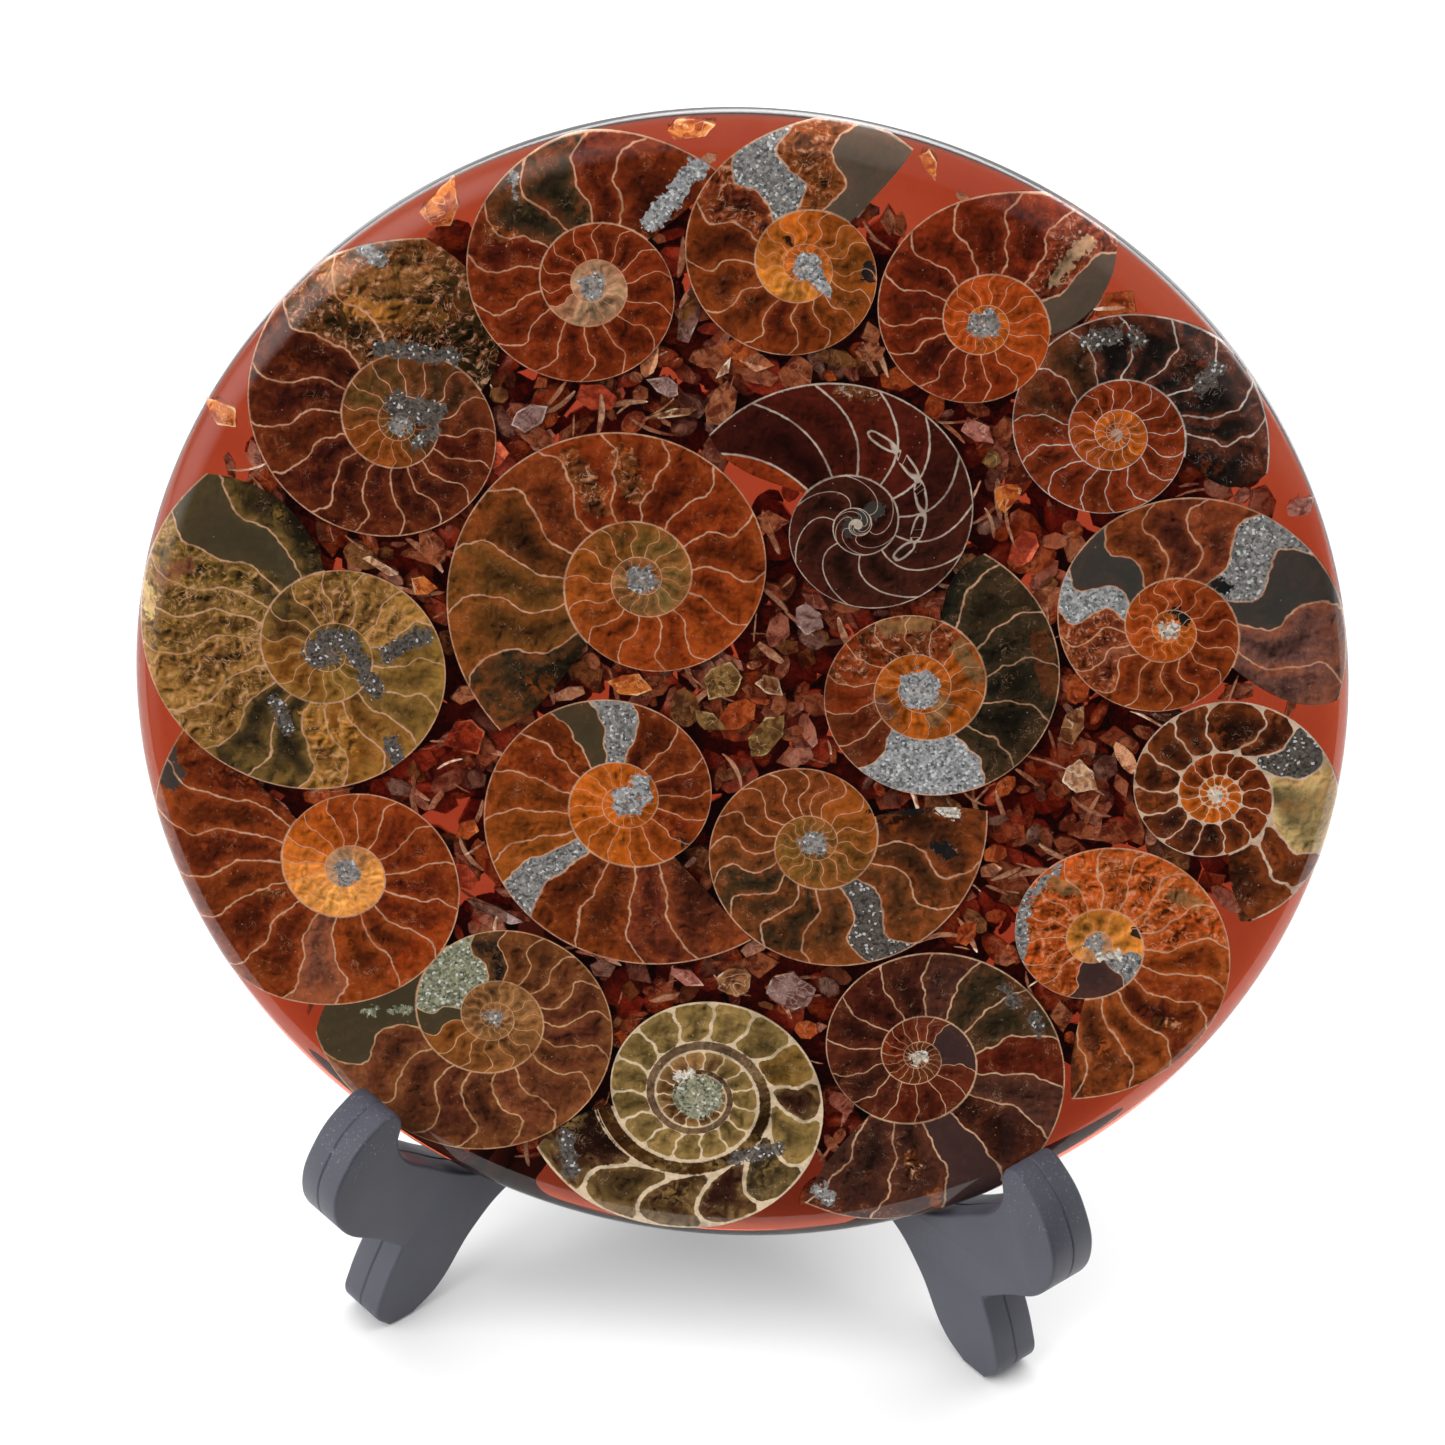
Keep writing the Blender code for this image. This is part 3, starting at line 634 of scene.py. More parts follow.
def pick(obj, mask, kind):
    """Selects just the faces, edges or vertices of a mask, and goes into edit mode."""
    mesh = obj.data
    for part in (mesh.vertices, mesh.edges, mesh.polygons):
        part.foreach_set("select", np.zeros(len(part), bool))
    chosen = {"VERT": mesh.vertices, "EDGE": mesh.edges, "FACE": mesh.polygons}[kind]
    chosen.foreach_set("select", mask)
    edit_mode(kind)


def linear(colour):
    """A screen colour of 0 to 255 as the renderer counts it."""
    shares = [part / 255 for part in colour]
    return [s / 12.92 if s <= 0.04045 else ((s + 0.055) / 1.055) ** 2.4 for s in shares]


def face_of_disc():
    """The middle of the disc's face, in metres."""
    out = Vector((0, -math.cos(LEAN_BACK), math.sin(LEAN_BACK)))
    return (DISC_MIDDLE + out * DISC_THICKNESS / 2) * MM


def settle(obj, material, replaced=()):
    """Ends a piece: its material, its body, and the node that it stands for."""
    obj.data.materials.clear()
    obj.data.materials.append(material)
    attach(obj, "root")
    if replaced:
        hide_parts(*replaced)


def smooth(obj, below):
    make_active(obj)
    bpy.ops.object.shade_smooth_by_angle(angle=math.radians(below))


def onto_disc(obj):
    """Puts a piece made in millimetres on the disc's face into the frame."""
    turn = Matrix.Rotation(math.pi / 2 - LEAN_BACK, 4, "X")
    obj.data.transform(Matrix.Translation(face_of_disc()) @ turn @ Matrix.Scale(MM, 4))
    smooth(obj, 40)


# Small tools for shaders
class Wire:
    """A shader value to reckon with: each step adds one node to its tree."""

    def __init__(self, socket):
        self.socket = socket
        self.tree = socket.id_data

    def step(self, operation, *others):
        return wire(self.tree, "Math", (self, *others), operation=operation)

    def __add__(self, other):
        return self.step("ADD", other)

    def __sub__(self, other):
        return self.step("SUBTRACT", other)

    def __mul__(self, other):
        return self.step("MULTIPLY", other)

    def __pow__(self, power):
        return self.step("POWER", power)

    def __abs__(self):
        return self.step("ABSOLUTE")

    def above(self, limit):
        return self.step("GREATER_THAN", limit)

    def or_more(self, other):
        return self.step("MAXIMUM", other)

    def ramp(self, low, high):
        """A smooth step from 0 at low to 1 at high."""
        return wire(self.tree, "MapRange", (self, low, high), interpolation_type="SMOOTHSTEP")


def connect(node, key, value):
    """Links or sets one input of a node."""
    if isinstance(value, Wire):
        node.id_data.links.new(value.socket, node.inputs[key])
    else:
        node.inputs[key].default_value = value


def add(tree, kind, inputs=(), **options):
    """Adds a shader node, sets its options, and links or sets its inputs."""
    made = tree.nodes.new("ShaderNode" + kind)
    for name, value in options.items():
        setattr(made, name, value)
    pairs = inputs.items() if isinstance(inputs, dict) else enumerate(inputs)
    for key, value in pairs:
        connect(made, key, value)
    return made


def wire(tree, kind, inputs=(), output=0, **options):
    """Adds a node and gives one of its outputs."""
    return Wire(add(tree, kind, inputs, **options).outputs[output])


def wires(outputs):
    return {socket.name: Wire(socket) for socket in outputs}


def blend(share, first, second):
    """One colour over another."""
    colours = [part if isinstance(part, Wire) else (*part, 1) for part in (first, second)]
    return wire(share.tree, "Mix", {0: share, 6: colours[0], 7: colours[1]}, 2,
                data_type="RGBA", blend_type="MIX")


def noise(place, scale, detail=3.0, twist=0.0):
    return wire(place.tree, "TexNoise", {"Vector": place, "Scale": scale, "Detail": detail,
                                         "Distortion": twist}, "Fac")


def cells(place, scale):
    """The distance to the nearest point, and three random numbers for each cell."""
    made = wires(add(place.tree, "TexVoronoi", {"Vector": place, "Scale": scale}).outputs)
    parts = add(place.tree, "SeparateColor", (made["Color"],))
    return made["Distance"], [Wire(part) for part in parts.outputs]


def axes(place):
    return [Wire(part) for part in add(place.tree, "SeparateXYZ", (place,)).outputs]


def times(vector, factor):
    """A colour or a place times a number."""
    return wire(vector.tree, "VectorMath", {0: vector, "Scale": factor}, operation="SCALE")


def vector_maths(place, other, operation, output=0):
    return wire(place.tree, "VectorMath", {0: place, 1: other}, output, operation=operation)


def new_group(name, inputs, outputs):
    """A shader group with named sockets. The first output is a colour, the others numbers."""
    group = bpy.data.node_groups.new(name, "ShaderNodeTree")
    for label, default in inputs.items():
        kind = "NodeSocketFloat"
        if isinstance(default, tuple):
            kind = "NodeSocketColor" if len(default) == 4 else "NodeSocketVector"
        socket = group.interface.new_socket(name=label, in_out="INPUT", socket_type=kind)
        socket.default_value = default
    for label in outputs:
        kind = "NodeSocketColor" if label == outputs[0] else "NodeSocketFloat"
        group.interface.new_socket(name=label, in_out="OUTPUT", socket_type=kind)
    given = wires(group.nodes.new("NodeGroupInput").outputs)
    return group, given


def end_group(group, results):
    out = group.nodes.new("NodeGroupOutput")
    for label, result in results.items():
        connect(out, label, result)
    return group


def use_group(tree, group, inputs):
    made = tree.nodes.new("ShaderNodeGroup")
    made.node_tree = group
    for label, value in inputs.items():
        connect(made, label, (*linear(value), 1) if isinstance(value, tuple) else value)
    return wires(made.outputs)


def new_material(name, plain):
    """A material, its Principled shader, and places in millimetres."""
    material = bpy.data.materials.new(name)
    material.use_nodes = True
    tree = material.node_tree
    shader = tree.nodes["Principled BSDF"]
    for label, value in plain.items():
        shader.inputs[label].default_value = value
    place = wire(tree, "TexCoord", output="Object")
    return material, shader, times(place, 1 / MM)


def bumped(height, strength, distance):
    return wire(height.tree, "Bump", {"Height": height, "Strength": strength,
                                      "Distance": distance})


# The look of cut fossil: chambers, septa, walls, crystals
def fossil_group():
    tree, given = new_group(
        "cut_fossil",
        {"Place": (0.0, 0.0, 0.0), "Septum": FAR, "Wall": FAR, "Thread": FAR,
         "Near Fill": CLEAR, "Near Kind": 0.0, "Far Fill": CLEAR, "Far Kind": 0.0,
         "Patch": -FAR, "Patch Fill": CLEAR, "Patch Kind": 0.0, "Line": CLEAR, "Glow": CLEAR,
         "Line Width": 0.09, "Fillet": 0.0, "Across": 0.5, "Veins": 0.3, "Wander": 0.7},
        ("Colour", "Roughness", "Height"))
    place, across = given["Place"], given["Across"]
    broad = noise(place, 0.22, 2, 0.4)
    coarse = noise(place, 0.5, 2.5, 0.8)
    middle = noise(place, 1.2, 4, 0.8)
    fine = noise(place, 5.0, 3)
    septum = given["Septum"] + given["Wander"] * (noise(place, 0.7, 1.5) - 0.5)
    far = septum.above(0.0)
    fill = blend(far, given["Near Fill"], given["Far Fill"])
    kind = given["Near Kind"] + far * (given["Far Kind"] - given["Near Kind"])
    ragged = noise(place, 0.9, 5, 1.0) * 3.2 - 1.6
    patch = (given["Patch"] + ragged).ramp(-0.1, 0.15)
    fill = blend(patch, fill, given["Patch Fill"])
    kind = kind + patch * (given["Patch Kind"] - kind)
    druse = kind.ramp(0.75, 0.9)
    flat = kind.ramp(0.4, 0.5) * (druse * -1.0 + 1.0)
    flecked = kind.ramp(0.1, 0.25) * kind.ramp(0.5, 0.4)
    lively = flat * -0.85 + 1.0
    # clouds of lighter and darker spar, with painted light and shade on their folds
    shade = (broad * 1.5 + coarse * 0.8 + middle * 1.1 + fine * 0.5 - 1.95) * lively
    # painted relief shade: each fold is painted lighter on its side toward the upper left, where
    # the light comes from, and darker on the side away
    lit_side = vector_maths(place, (-0.3, 0.0, 0.34), "ADD")
    painted_relief_shade = noise(place, 0.55, 1.6, 1.0) - noise(lit_side, 0.55, 1.6, 1.0)
    shade = (shade + 1.0 + painted_relief_shade * (flecked * 3.0 + lively * 1.8)).or_more(0.2)
    deep = abs(septum).ramp(0.2, 2.8) * across.ramp(-0.1, 0.75)
    stone = times(fill, shade * (deep * lively * -0.76 + 1.04))
    # clear amber spar beside the walls and in clouds
    beside = (septum.ramp(-1.8, 0.2) * septum.ramp(0.9, 0.1)).or_more(across.ramp(0.42, 0.0))
    clouds = broad.ramp(0.5, 0.72) * middle.ramp(0.4, 0.62)
    amber = (beside * coarse.ramp(0.3, 0.66)).or_more(clouds) * lively * 0.42
    stone = blend(amber, stone, given["Glow"])
    # fine pale veins, curls of gold with painted highlights on the folds' lit sides, and specks
    ridge = abs(noise(place, 0.9, 3, 1.2) - 0.5)
    veins = ridge.ramp(0.022, 0.0) * coarse.ramp(0.5, 0.68) * given["Veins"] * lively
    stone = blend(veins, stone, given["Line"])
    ribbon = abs(noise(place, 0.5, 2, 1.8) - 0.5)
    # curls of gold, and painted highlights where the folds face the light
    curls_and_painted_highlights = painted_relief_shade.ramp(0.05, 0.15).or_more(ribbon.ramp(0.04, 0.0))
    curls_and_painted_highlights = curls_and_painted_highlights * flecked * coarse.ramp(0.4, 0.56) * 0.7
    stone = blend(curls_and_painted_highlights, stone, blend(middle.ramp(0.4, 0.6), given["Glow"], given["Line"]))
    away, chance = cells(place, 1.3)
    specks = away.ramp(0.16, 0.06) * chance[0].above(0.9) * 0.4
    stone = blend(specks, stone, given["Line"])
    # crystal crust: grains of every grey, a few painted pale as glints
    chance = cells(place, 3.2)[1]
    crust = times(fill, (chance[0] * 1.15 + middle * 1.1 - 0.2).or_more(0.15))
    crust = blend(chance[1].above(0.93) * 0.6, crust, PAINTED_GLINT)
    stone = blend(druse, stone, crust)
    # walls and septa
    width = given["Line Width"] * (middle * 1.4 + 0.3)
    corner = given["Wall"].ramp(1.6, 0.0) ** 2.0 * given["Fillet"]
    line = (abs(septum) - width - corner).ramp(0.07, -0.05)
    wall = (given["Wall"] + fine * 0.2 - 0.1 - width).ramp(0.13, -0.03)
    thread = abs(given["Thread"]).ramp(0.2, 0.08)
    drawn = line.or_more(wall).or_more(thread) * (patch * druse * -0.85 + 1.0)
    faint = broad.ramp(0.36, 0.56) * 0.4 + 0.5
    shell = times(given["Line"], middle * 0.9 + 0.5)
    return end_group(tree, {"Colour": blend(drawn * faint, stone, shell),
                            "Roughness": druse * 0.2 + fine * 0.06 + 0.04,
                            "Height": druse * chance[2]})


def fossil_material(name, look, group):
    """The polished finish of one slice, from the marks that its mesh carries."""
    material, shader, place = new_material(name, {"IOR": STONE_IOR})
    tree = place.tree
    given = {"Place": place, "Line": look.get("line", LINE), "Glow": look.get("glow", GLOW)}
    marks = axes(wire(tree, "Attribute", output="Vector", attribute_name="marks"))
    given.update(zip(("Septum", "Wall", "Patch"), marks))
    for mark in ("Thread", "Across"):
        given[mark] = wire(tree, "Attribute", output="Fac", attribute_name=mark.lower())
    for side in ("Near", "Far", "Patch"):
        mark = wires(add(tree, "Attribute", attribute_name=side.lower() + "_fill").outputs)
        given[side + " Fill"], given[side + " Kind"] = mark["Color"], mark["Alpha"]
    for option in ("Line Width", "Fillet", "Veins", "Wander"):
        own = look.get(option.lower().replace(" ", "_"))
        if own is not None:
            given[option] = own
    got = use_group(tree, group, given)
    connect(shader, "Base Color", got["Colour"])
    connect(shader, "Roughness", got["Roughness"])
    connect(shader, "Normal", bumped(got["Height"], 0.5, 0.08 * MM))
    return material


# The slices' shape
def level(name):
    """How many slices lie over this one, one on another."""
    return 1 + max((level(other) for other in GROUND_BY.get(name, ())), default=-1)


def edge_depth(radius):
    """How far the disc's rounded edge lies below its face, at a radius."""
    inset = np.clip((radius - DISC_RADIUS) / EDGE_ROUND_IN + 1, 0, 1)
    return EDGE_ROUND_DEEP * (1 - np.sqrt(1 - inset**2))


def on_spiral(row, back, across):
    """Places on a slice: degrees back from the mouth, share of the way inwards."""
    x, y, mouth_radius, growth, mouth, turn = row[:6]
    radius = mouth_radius * growth ** (-back / 360) * (1 - across * (1 - 1 / growth))
    angle = np.radians(mouth - turn * back)
    return np.stack([x + radius * np.cos(angle), y + radius * np.sin(angle)], -1)


def outline_reach(row, x, y):
    """How far the slice's outline is from its middle, in the direction of a place."""
    middle_x, middle_y, radius, growth, mouth, turn = row[:6]
    angle = np.degrees(np.arctan2(y - middle_y, x - middle_x))
    return radius * growth ** (-np.mod((mouth - angle) * turn, 360) / 360)


def sheet_span(row):
    """Where the slice's long sheet begins and ends, in degrees back from the mouth."""
    mouth_radius, growth, run_on, bulge = row[2], row[3], row[6], row[7]
    start = -STEP_DEGREES * math.ceil((run_on + bulge) / STEP_DEGREES + 1)
    whole = 360 * math.log(mouth_radius / CORE_RADIUS) / math.log(growth)
    return start, STEP_DEGREES * math.ceil(whole / STEP_DEGREES)


def rolled_sheet(name, row):
    """The slice's cut face: a long grid rolled up along the shell's spiral."""
    start, end = span = sheet_span(row)
    deselect()
    columns = round((end - start) / STEP_DEGREES)
    bpy.ops.mesh.primitive_grid_add(x_subdivisions=columns, y_subdivisions=SHEET_ROWS,
                                    size=1)
    obj = named(name)
    flat = places(obj.data)
    across = flat[:, 1] + 0.5
    back = start + (flat[:, 0] + 0.5) * (end - start)
    run_on, bulge = row[6:]
    lip = run_on * across + bulge * 4 * across * (1 - across)
    rolled = on_spiral(row, np.maximum(back, -lip), across)
    set_places(obj.data, np.column_stack([rolled, np.zeros(len(rolled))]))
    edit_all(bpy.ops.mesh.remove_doubles, threshold=0.003)
    close_core(obj, row, end)
    fit_to_edge(obj)
    return obj, span


def close_core(obj, row, end):
    """Fills the small hole where the spiral ends."""
    mesh = obj.data
    reach = np.hypot(*(places(mesh)[:, :2] - row[:2]).T)
    uses = np.bincount(read(mesh.loops, "edge_index"), minlength=len(mesh.edges))
    limit = row[2] * row[3] ** (-end / 360) * 1.05
    near = (reach[read(mesh.edges, "vertices", 2)] < limit).all(axis=1)
    pick(obj, near & (uses == 1), "EDGE")
    bpy.ops.mesh.edge_face_add()
    object_mode()


def fit_to_edge(obj):
    """Makes the sheet finer where the disc is rounded, and ends it at the disc's side."""
    mesh = obj.data
    for last in (False, True):
        reach = np.hypot(*places(mesh)[:, :2].T)[read(mesh.loops, "vertex_index")]
        starts = read(mesh.polygons, "loop_start")
        nearest = np.minimum.reduceat(reach, starts)
        furthest = np.maximum.reduceat(reach, starts)
        if furthest.max() < EDGE_BAND:
            return
        if last:
            pick(obj, nearest >= SHEET_REACH, "FACE")
            bpy.ops.mesh.delete(type="FACE")
        else:
            pick(obj, furthest > EDGE_BAND, "FACE")
            bpy.ops.mesh.subdivide(number_cuts=2)
        object_mode()
    points = places(mesh)
    reach = np.hypot(*points[:, :2].T)
    points[:, :2] *= np.minimum(1, SHEET_REACH / np.maximum(reach, 1e-6))[:, None]
    set_places(mesh, points)


def septum_curve(look, name, index, back):
    """How far a septum leaves a straight line across the whorl, in degrees."""
    slant, bow, sway = look["curve"]
    if back > look.get("turn_over", math.inf):
        slant, bow, sway = look["inner_curve"]
    elif "crescent" in look:
        start, fall, rise = look["crescent"]
        return lambda v: start + fall * v + rise * v**2
    if name == "nautilus":
        reach = 14 + 0.125 * max(back - 18, 0)
        return lambda v: reach * np.sin(1.95 * np.clip(v, 0, 1.1)) / 0.98
    chance = random.Random(f"{name} {index}")
    bow *= chance.uniform(0.75, 1.25)
    sway *= chance.uniform(1.2, 2.4)
    flute, phase = chance.uniform(0.7, 1.5), chance.uniform(0, 6)
    return lambda v: (-slant * v + bow * np.sin(math.pi * v)
                      + sway * np.sin(2 * math.pi * v)
                      + flute * np.sin(5 * math.pi * v + phase) * np.sin(math.pi * v))


def septa_of(name, end):
    """Where every septum starts and the curve that it follows, from the mouth inwards."""
    look = LOOKS[name]
    starts = list(look["septa"])
    while starts[-1] + look["spacing"] < end:
        starts.append(starts[-1] + look["spacing"])
    return [(back, septum_curve(look, name, index, back))
            for index, back in enumerate(starts)]


def fill_of(name):
    """The colour and kind of a fill."""
    kind = next(kind for kind, fills in FILLS.items() if name in fills)
    return np.array([*linear(FILLS[kind][name]), kind])


def ground_fill(look, back, chance):
    """The fill of an ordinary chamber, with its own small difference."""
    positions = [stop[0] for stop in look["ground"]]
    fills = np.array([fill_of(stop[1]) for stop in look["ground"]])
    colour = np.array([np.interp(back, positions, fills[:, i]) for i in range(3)])
    colour *= chance.uniform(0.6, 1.15)
    ember = np.array(linear(look.get("glow", EMBER)))
    colour += (ember - colour) * chance.uniform(0, 0.22)
    nearest = min(range(len(fills)), key=lambda index: abs(positions[index] - back))
    return np.array([*colour, fills[nearest, 3]])


def chamber_fills(name, septa):
    """One fill for each chamber, from the mouth inwards."""
    look = LOOKS[name]
    chance = random.Random(f"{name} fills")
    made = []
    for index in range(len(septa) + 1):
        before = septa[index - 1][0] if index else septa[0][0] - look["spacing"]
        after = septa[index][0] if index < len(septa) else before + look["spacing"]
        plain = ground_fill(look, (before + after) / 2, chance)
        special = look["chambers"].get(index)
        made.append(fill_of(special) if special else plain)
    return np.array(made)


def distance_to_path(points, path):
    """How far each point is from a broken line."""
    first, run = path[:-1], np.diff(path, axis=0)
    away = points[:, None] - first[None]
    along = (away * run).sum(-1) / np.maximum((run**2).sum(-1), 1e-12)
    away -= np.clip(along, 0, 1)[..., None] * run
    return np.hypot(away[..., 0], away[..., 1]).min(axis=1)


def bead_distance(points):
    """Signed distance to the outline of the nearest bead of the siphuncle."""
    best = np.full(len(points), FAR)
    for start, finish in zip(SIPHUNCLE[:-1], SIPHUNCLE[1:]):
        start, finish = np.array(start), np.array(finish)
        run = finish - start
        half = np.hypot(*run) / 2
        run = run / (2 * half)
        away = points - (start + finish) / 2
        along, beside = away @ run, away @ np.array([-run[1], run[0]])
        ring = np.hypot(along / half, beside / BEAD_WIDTH)
        outline = (ring - 1) * np.minimum(BEAD_WIDTH / np.maximum(
            np.abs(beside) / np.maximum(ring * BEAD_WIDTH, 1e-6), BEAD_WIDTH / half), half)
        best = np.where(np.abs(outline) < np.abs(best), outline, best)
    return best

class Sheet:
    """A slice's cut face as arrays: its face corners, and the means of its faces."""

    def __init__(self, mesh, row, span):
        share = read(mesh.uv_layers.active.data, "uv", 2, np.float32).astype(float)
        self.back = span[0] + share[:, 0] * (span[1] - span[0])
        self.across = share[:, 1]
        self.points = places(mesh)[read(mesh.loops, "vertex_index")][:, :2]
        self.starts = read(mesh.polygons, "loop_start")
        self.totals = read(mesh.polygons, "loop_total")
        self.face = np.repeat(np.arange(len(self.starts)), self.totals)
        self.width = row[2] * row[3] ** (-self.back / 360) * (1 - 1 / row[3])

    def mean(self, values):
        total = np.add.reduceat(values, self.starts)
        return (total.T / self.totals).T


def septum_marks(sheet, row, septa):
    """The septum that is nearest each face, and how far from it the corners are."""
    back, across = sheet.mean(sheet.back), sheet.mean(sheet.across)
    ahead = np.stack([back - curve(across) - start for start, curve in septa], 1)
    nearest = np.abs(ahead).argmin(axis=1)
    away = np.zeros(len(sheet.back))
    line = np.linspace(-0.1, 1.1, SEPTUM_STEPS)
    for index, (start, curve) in enumerate(septa):
        corners = nearest[sheet.face] == index
        path = on_spiral(row, start + curve(line), line)
        side = np.sign(sheet.back[corners] - curve(sheet.across[corners]) - start)
        away[corners] = side * distance_to_path(sheet.points[corners], path)
    return nearest, away


def patch_marks(sheet, row, look):
    """How far each corner is inside the patch that is nearest its face, and its fill."""
    x, y = row[:2]
    patches = [*look["patches"], (x, y, x, y + 0.01, *look["core"])]

    def inside(points, patch):
        return patch[4] - distance_to_path(points, np.array([patch[:2], patch[2:4]]))

    means = sheet.mean(sheet.points)
    chosen = np.stack([inside(means, patch) for patch in patches], 1).argmax(axis=1)
    away = np.zeros(len(sheet.back))
    for index, patch in enumerate(patches):
        corners = chosen[sheet.face] == index
        away[corners] = inside(sheet.points[corners], patch)
    return away, np.array([fill_of(patch[5]) for patch in patches])[chosen]


def mark_sheet(obj, name, row, span):
    """Writes on every face corner how far it is from a septum, a wall and a patch, and
    what fills the chambers there."""
    mesh, look = obj.data, LOOKS[name]
    sheet = Sheet(mesh, row, span)
    septa = septa_of(name, span[1])
    nearest, septum = septum_marks(sheet, row, septa)
    fills = chamber_fills(name, septa)
    near_fill, far_fill = fills[nearest], fills[nearest + 1]
    wall = np.minimum(sheet.across, 1 - sheet.across) * sheet.width
    if "band" in look:
        # a band of its own colour along the inner wall
        edge = 1 - BAND_SHARE
        wall = np.minimum(wall, np.abs(edge - sheet.across) * sheet.width + 0.1)
        septum[sheet.across > edge] = FAR
        chance = random.Random(name)
        bands = np.array([ground_fill({"ground": look["band"]}, place, chance)
                          for place in range(0, BAND_END + 1, BAND_STEP)])
        back = sheet.mean(sheet.back)
        inner = (sheet.mean(sheet.across) > edge) & (back < BAND_END)
        step = np.clip(back[inner] // BAND_STEP, 0, len(bands) - 1).astype(int)
        near_fill[inner] = far_fill[inner] = bands[step]
    patch, patch_fill = patch_marks(sheet, row, look)
    fineness = np.clip(sheet.width / 9, 0.28, 1.1)
    write_marks(mesh, "marks", "FLOAT_VECTOR", "vector",
                np.stack([septum / fineness, wall / fineness, patch], 1))
    thread = np.full(len(septum), FAR)
    if name == "nautilus":
        thread = bead_distance(sheet.points)
    write_marks(mesh, "thread", "FLOAT", "value", thread)
    write_marks(mesh, "across", "FLOAT", "value", sheet.across)
    for label, values in (("near_fill", near_fill), ("far_fill", far_fill),
                          ("patch_fill", patch_fill)):
        write_marks(mesh, label, "FLOAT_COLOR", "color", values[sheet.face])


def dome_of_slice(row):
    """How deep a half shell reaches below its cut face: a dome, thin at the outline."""
    def share(points):
        x, y = points[:, 0], points[:, 1]
        away = np.hypot(x - row[0], y - row[1]) / outline_reach(row, x, y)
        return 0.05 + 0.95 * np.sqrt(1 - np.clip(away, 0, 1) ** 2.5)
    return share


def thicken(obj, thickness, lower, dome):
    """Gives a sheet its depth, its top following the disc's rounded edge."""
    make_active(obj)
    edit_all(bpy.ops.mesh.extrude_region_move, "FACE",
             TRANSFORM_OT_translate={"value": (0, 0, -thickness)})
    points = places(obj.data)
    top = points[:, 2] > -thickness / 2
    sunk = edge_depth(np.hypot(*points[:, :2].T))
    reach = np.minimum(sunk + thickness * dome(points), thickness)
    points[top, 2] = -sunk[top] - lower
    points[~top, 2] = -np.maximum(reach, sunk + THINNEST)[~top] - lower
    set_places(obj.data, points)
    face_outwards()


def make_slice(name, row, group):
    obj, span = rolled_sheet(name, row)
    mark_sheet(obj, name, row, span)
    thicken(obj, SLICE_THICKNESS, level(name) * LEVEL_STEP, dome_of_slice(row))
    onto_disc(obj)
    settle(obj, fossil_material(name, LOOKS[name], group), [name])


# The resin
def resin_material():
    """Clear red resin, polished all round."""
    material, shader, place = new_material(
        "red_resin", {"Roughness": 0.03, "IOR": 1.5, "Transmission Weight": 1.0})
    cloud = noise(place, 0.06, 3, 0.5).ramp(0.35, 0.65)
    connect(shader, "Base Color", blend(cloud, (0.90, 0.60, 0.46), (0.98, 0.80, 0.66)))
    depth = wire(place.tree, "VolumeAbsorption", {"Color": RESIN_HUE,
                                                  "Density": RESIN_DENSITY})
    connect(place.tree.nodes["Material Output"], "Volume", depth)
    return material


def resin_disc():
    """The cast disc: a round face drawn out ring by ring round its soft edge."""
    radius, height = RESIN_RADIUS - EDGE_ROUND_IN, -RESIN_BELOW
    deselect()
    bpy.ops.mesh.primitive_circle_add(vertices=360, radius=radius, fill_type="NGON",
                                      location=(0, 0, height))
    obj = named("resin_disc_body")
    bpy.ops.object.transform_apply(location=True)
    rings = []
    for step in range(EDGE_STEPS + 1):
        angle = math.pi / 2 * step / EDGE_STEPS
        reach = RESIN_RADIUS - EDGE_ROUND_IN * (1 - math.sin(angle))
        fall = EDGE_ROUND_DEEP * (1 - math.cos(angle))
        rings.append((reach, -fall - RESIN_BELOW * math.cos(angle)))
        rings.append((reach, fall - DISC_THICKNESS))
    # down the front edge, whose first ring is the face itself, and in to the back
    rings = rings[2::2] + rings[::-2]
    edit_mode("EDGE")
    bpy.ops.mesh.select_all(action="SELECT")
    bpy.ops.mesh.region_to_loop()
    for new_radius, new_height in rings:
        bpy.ops.mesh.extrude_edges_move(
            TRANSFORM_OT_translate={"value": (0, 0, new_height - height)})
        bpy.ops.transform.resize(value=(new_radius / radius, new_radius / radius, 1),
                                 center_override=(0, 0, new_height))
        radius, height = new_radius, new_height
    bpy.ops.mesh.edge_face_add()
    object_mode()
    face_outwards()
    onto_disc(obj)
    settle(obj, resin_material(), ["resin_disc"])


# The loose chips
def shell_stone_group():
    tree, given = new_group(
        "shell_stone", {"Place": (0.0, 0.0, 0.0), "Light": CLEAR, "Dark": CLEAR,
                        "Edge": CLEAR, "Streaks": 0.5, "Rim": FAR}, ("Colour", "Roughness"))
    place = given["Place"]
    fine = noise(place, 2.6, 4, 0.5)
    clouds = noise(place, 0.5, 4, 1.2).ramp(0.36, 0.62)
    colour = times(blend(clouds, given["Dark"], given["Light"]), fine * 1.2 + 0.38)
    rings = abs(noise(place, 0.42, 2, 1.0) - 0.5).ramp(0.018, 0.0) * given["Streaks"]
    border = (given["Rim"] + (fine * 0.5 - 0.25)).ramp(0.3, 0.04)
    border = border * noise(place, 0.35, 2).ramp(0.46, 0.66)
    return end_group(tree, {"Colour": blend(rings.or_more(border), colour, given["Edge"]),
                            "Roughness": fine * 0.2 + 0.06})


def chip_material(name, look, group):
    light, dark, edge, streaks = look
    material, shader, place = new_material(name, {"IOR": STONE_IOR})
    rim = wire(place.tree, "Attribute", output="Fac", attribute_name="rim")
    got = use_group(place.tree, group, {"Place": place, "Light": light, "Dark": dark,
                                        "Edge": edge, "Streaks": streaks, "Rim": rim})
    connect(shader, "Base Color", got["Colour"])
    connect(shader, "Roughness", got["Roughness"])
    return material


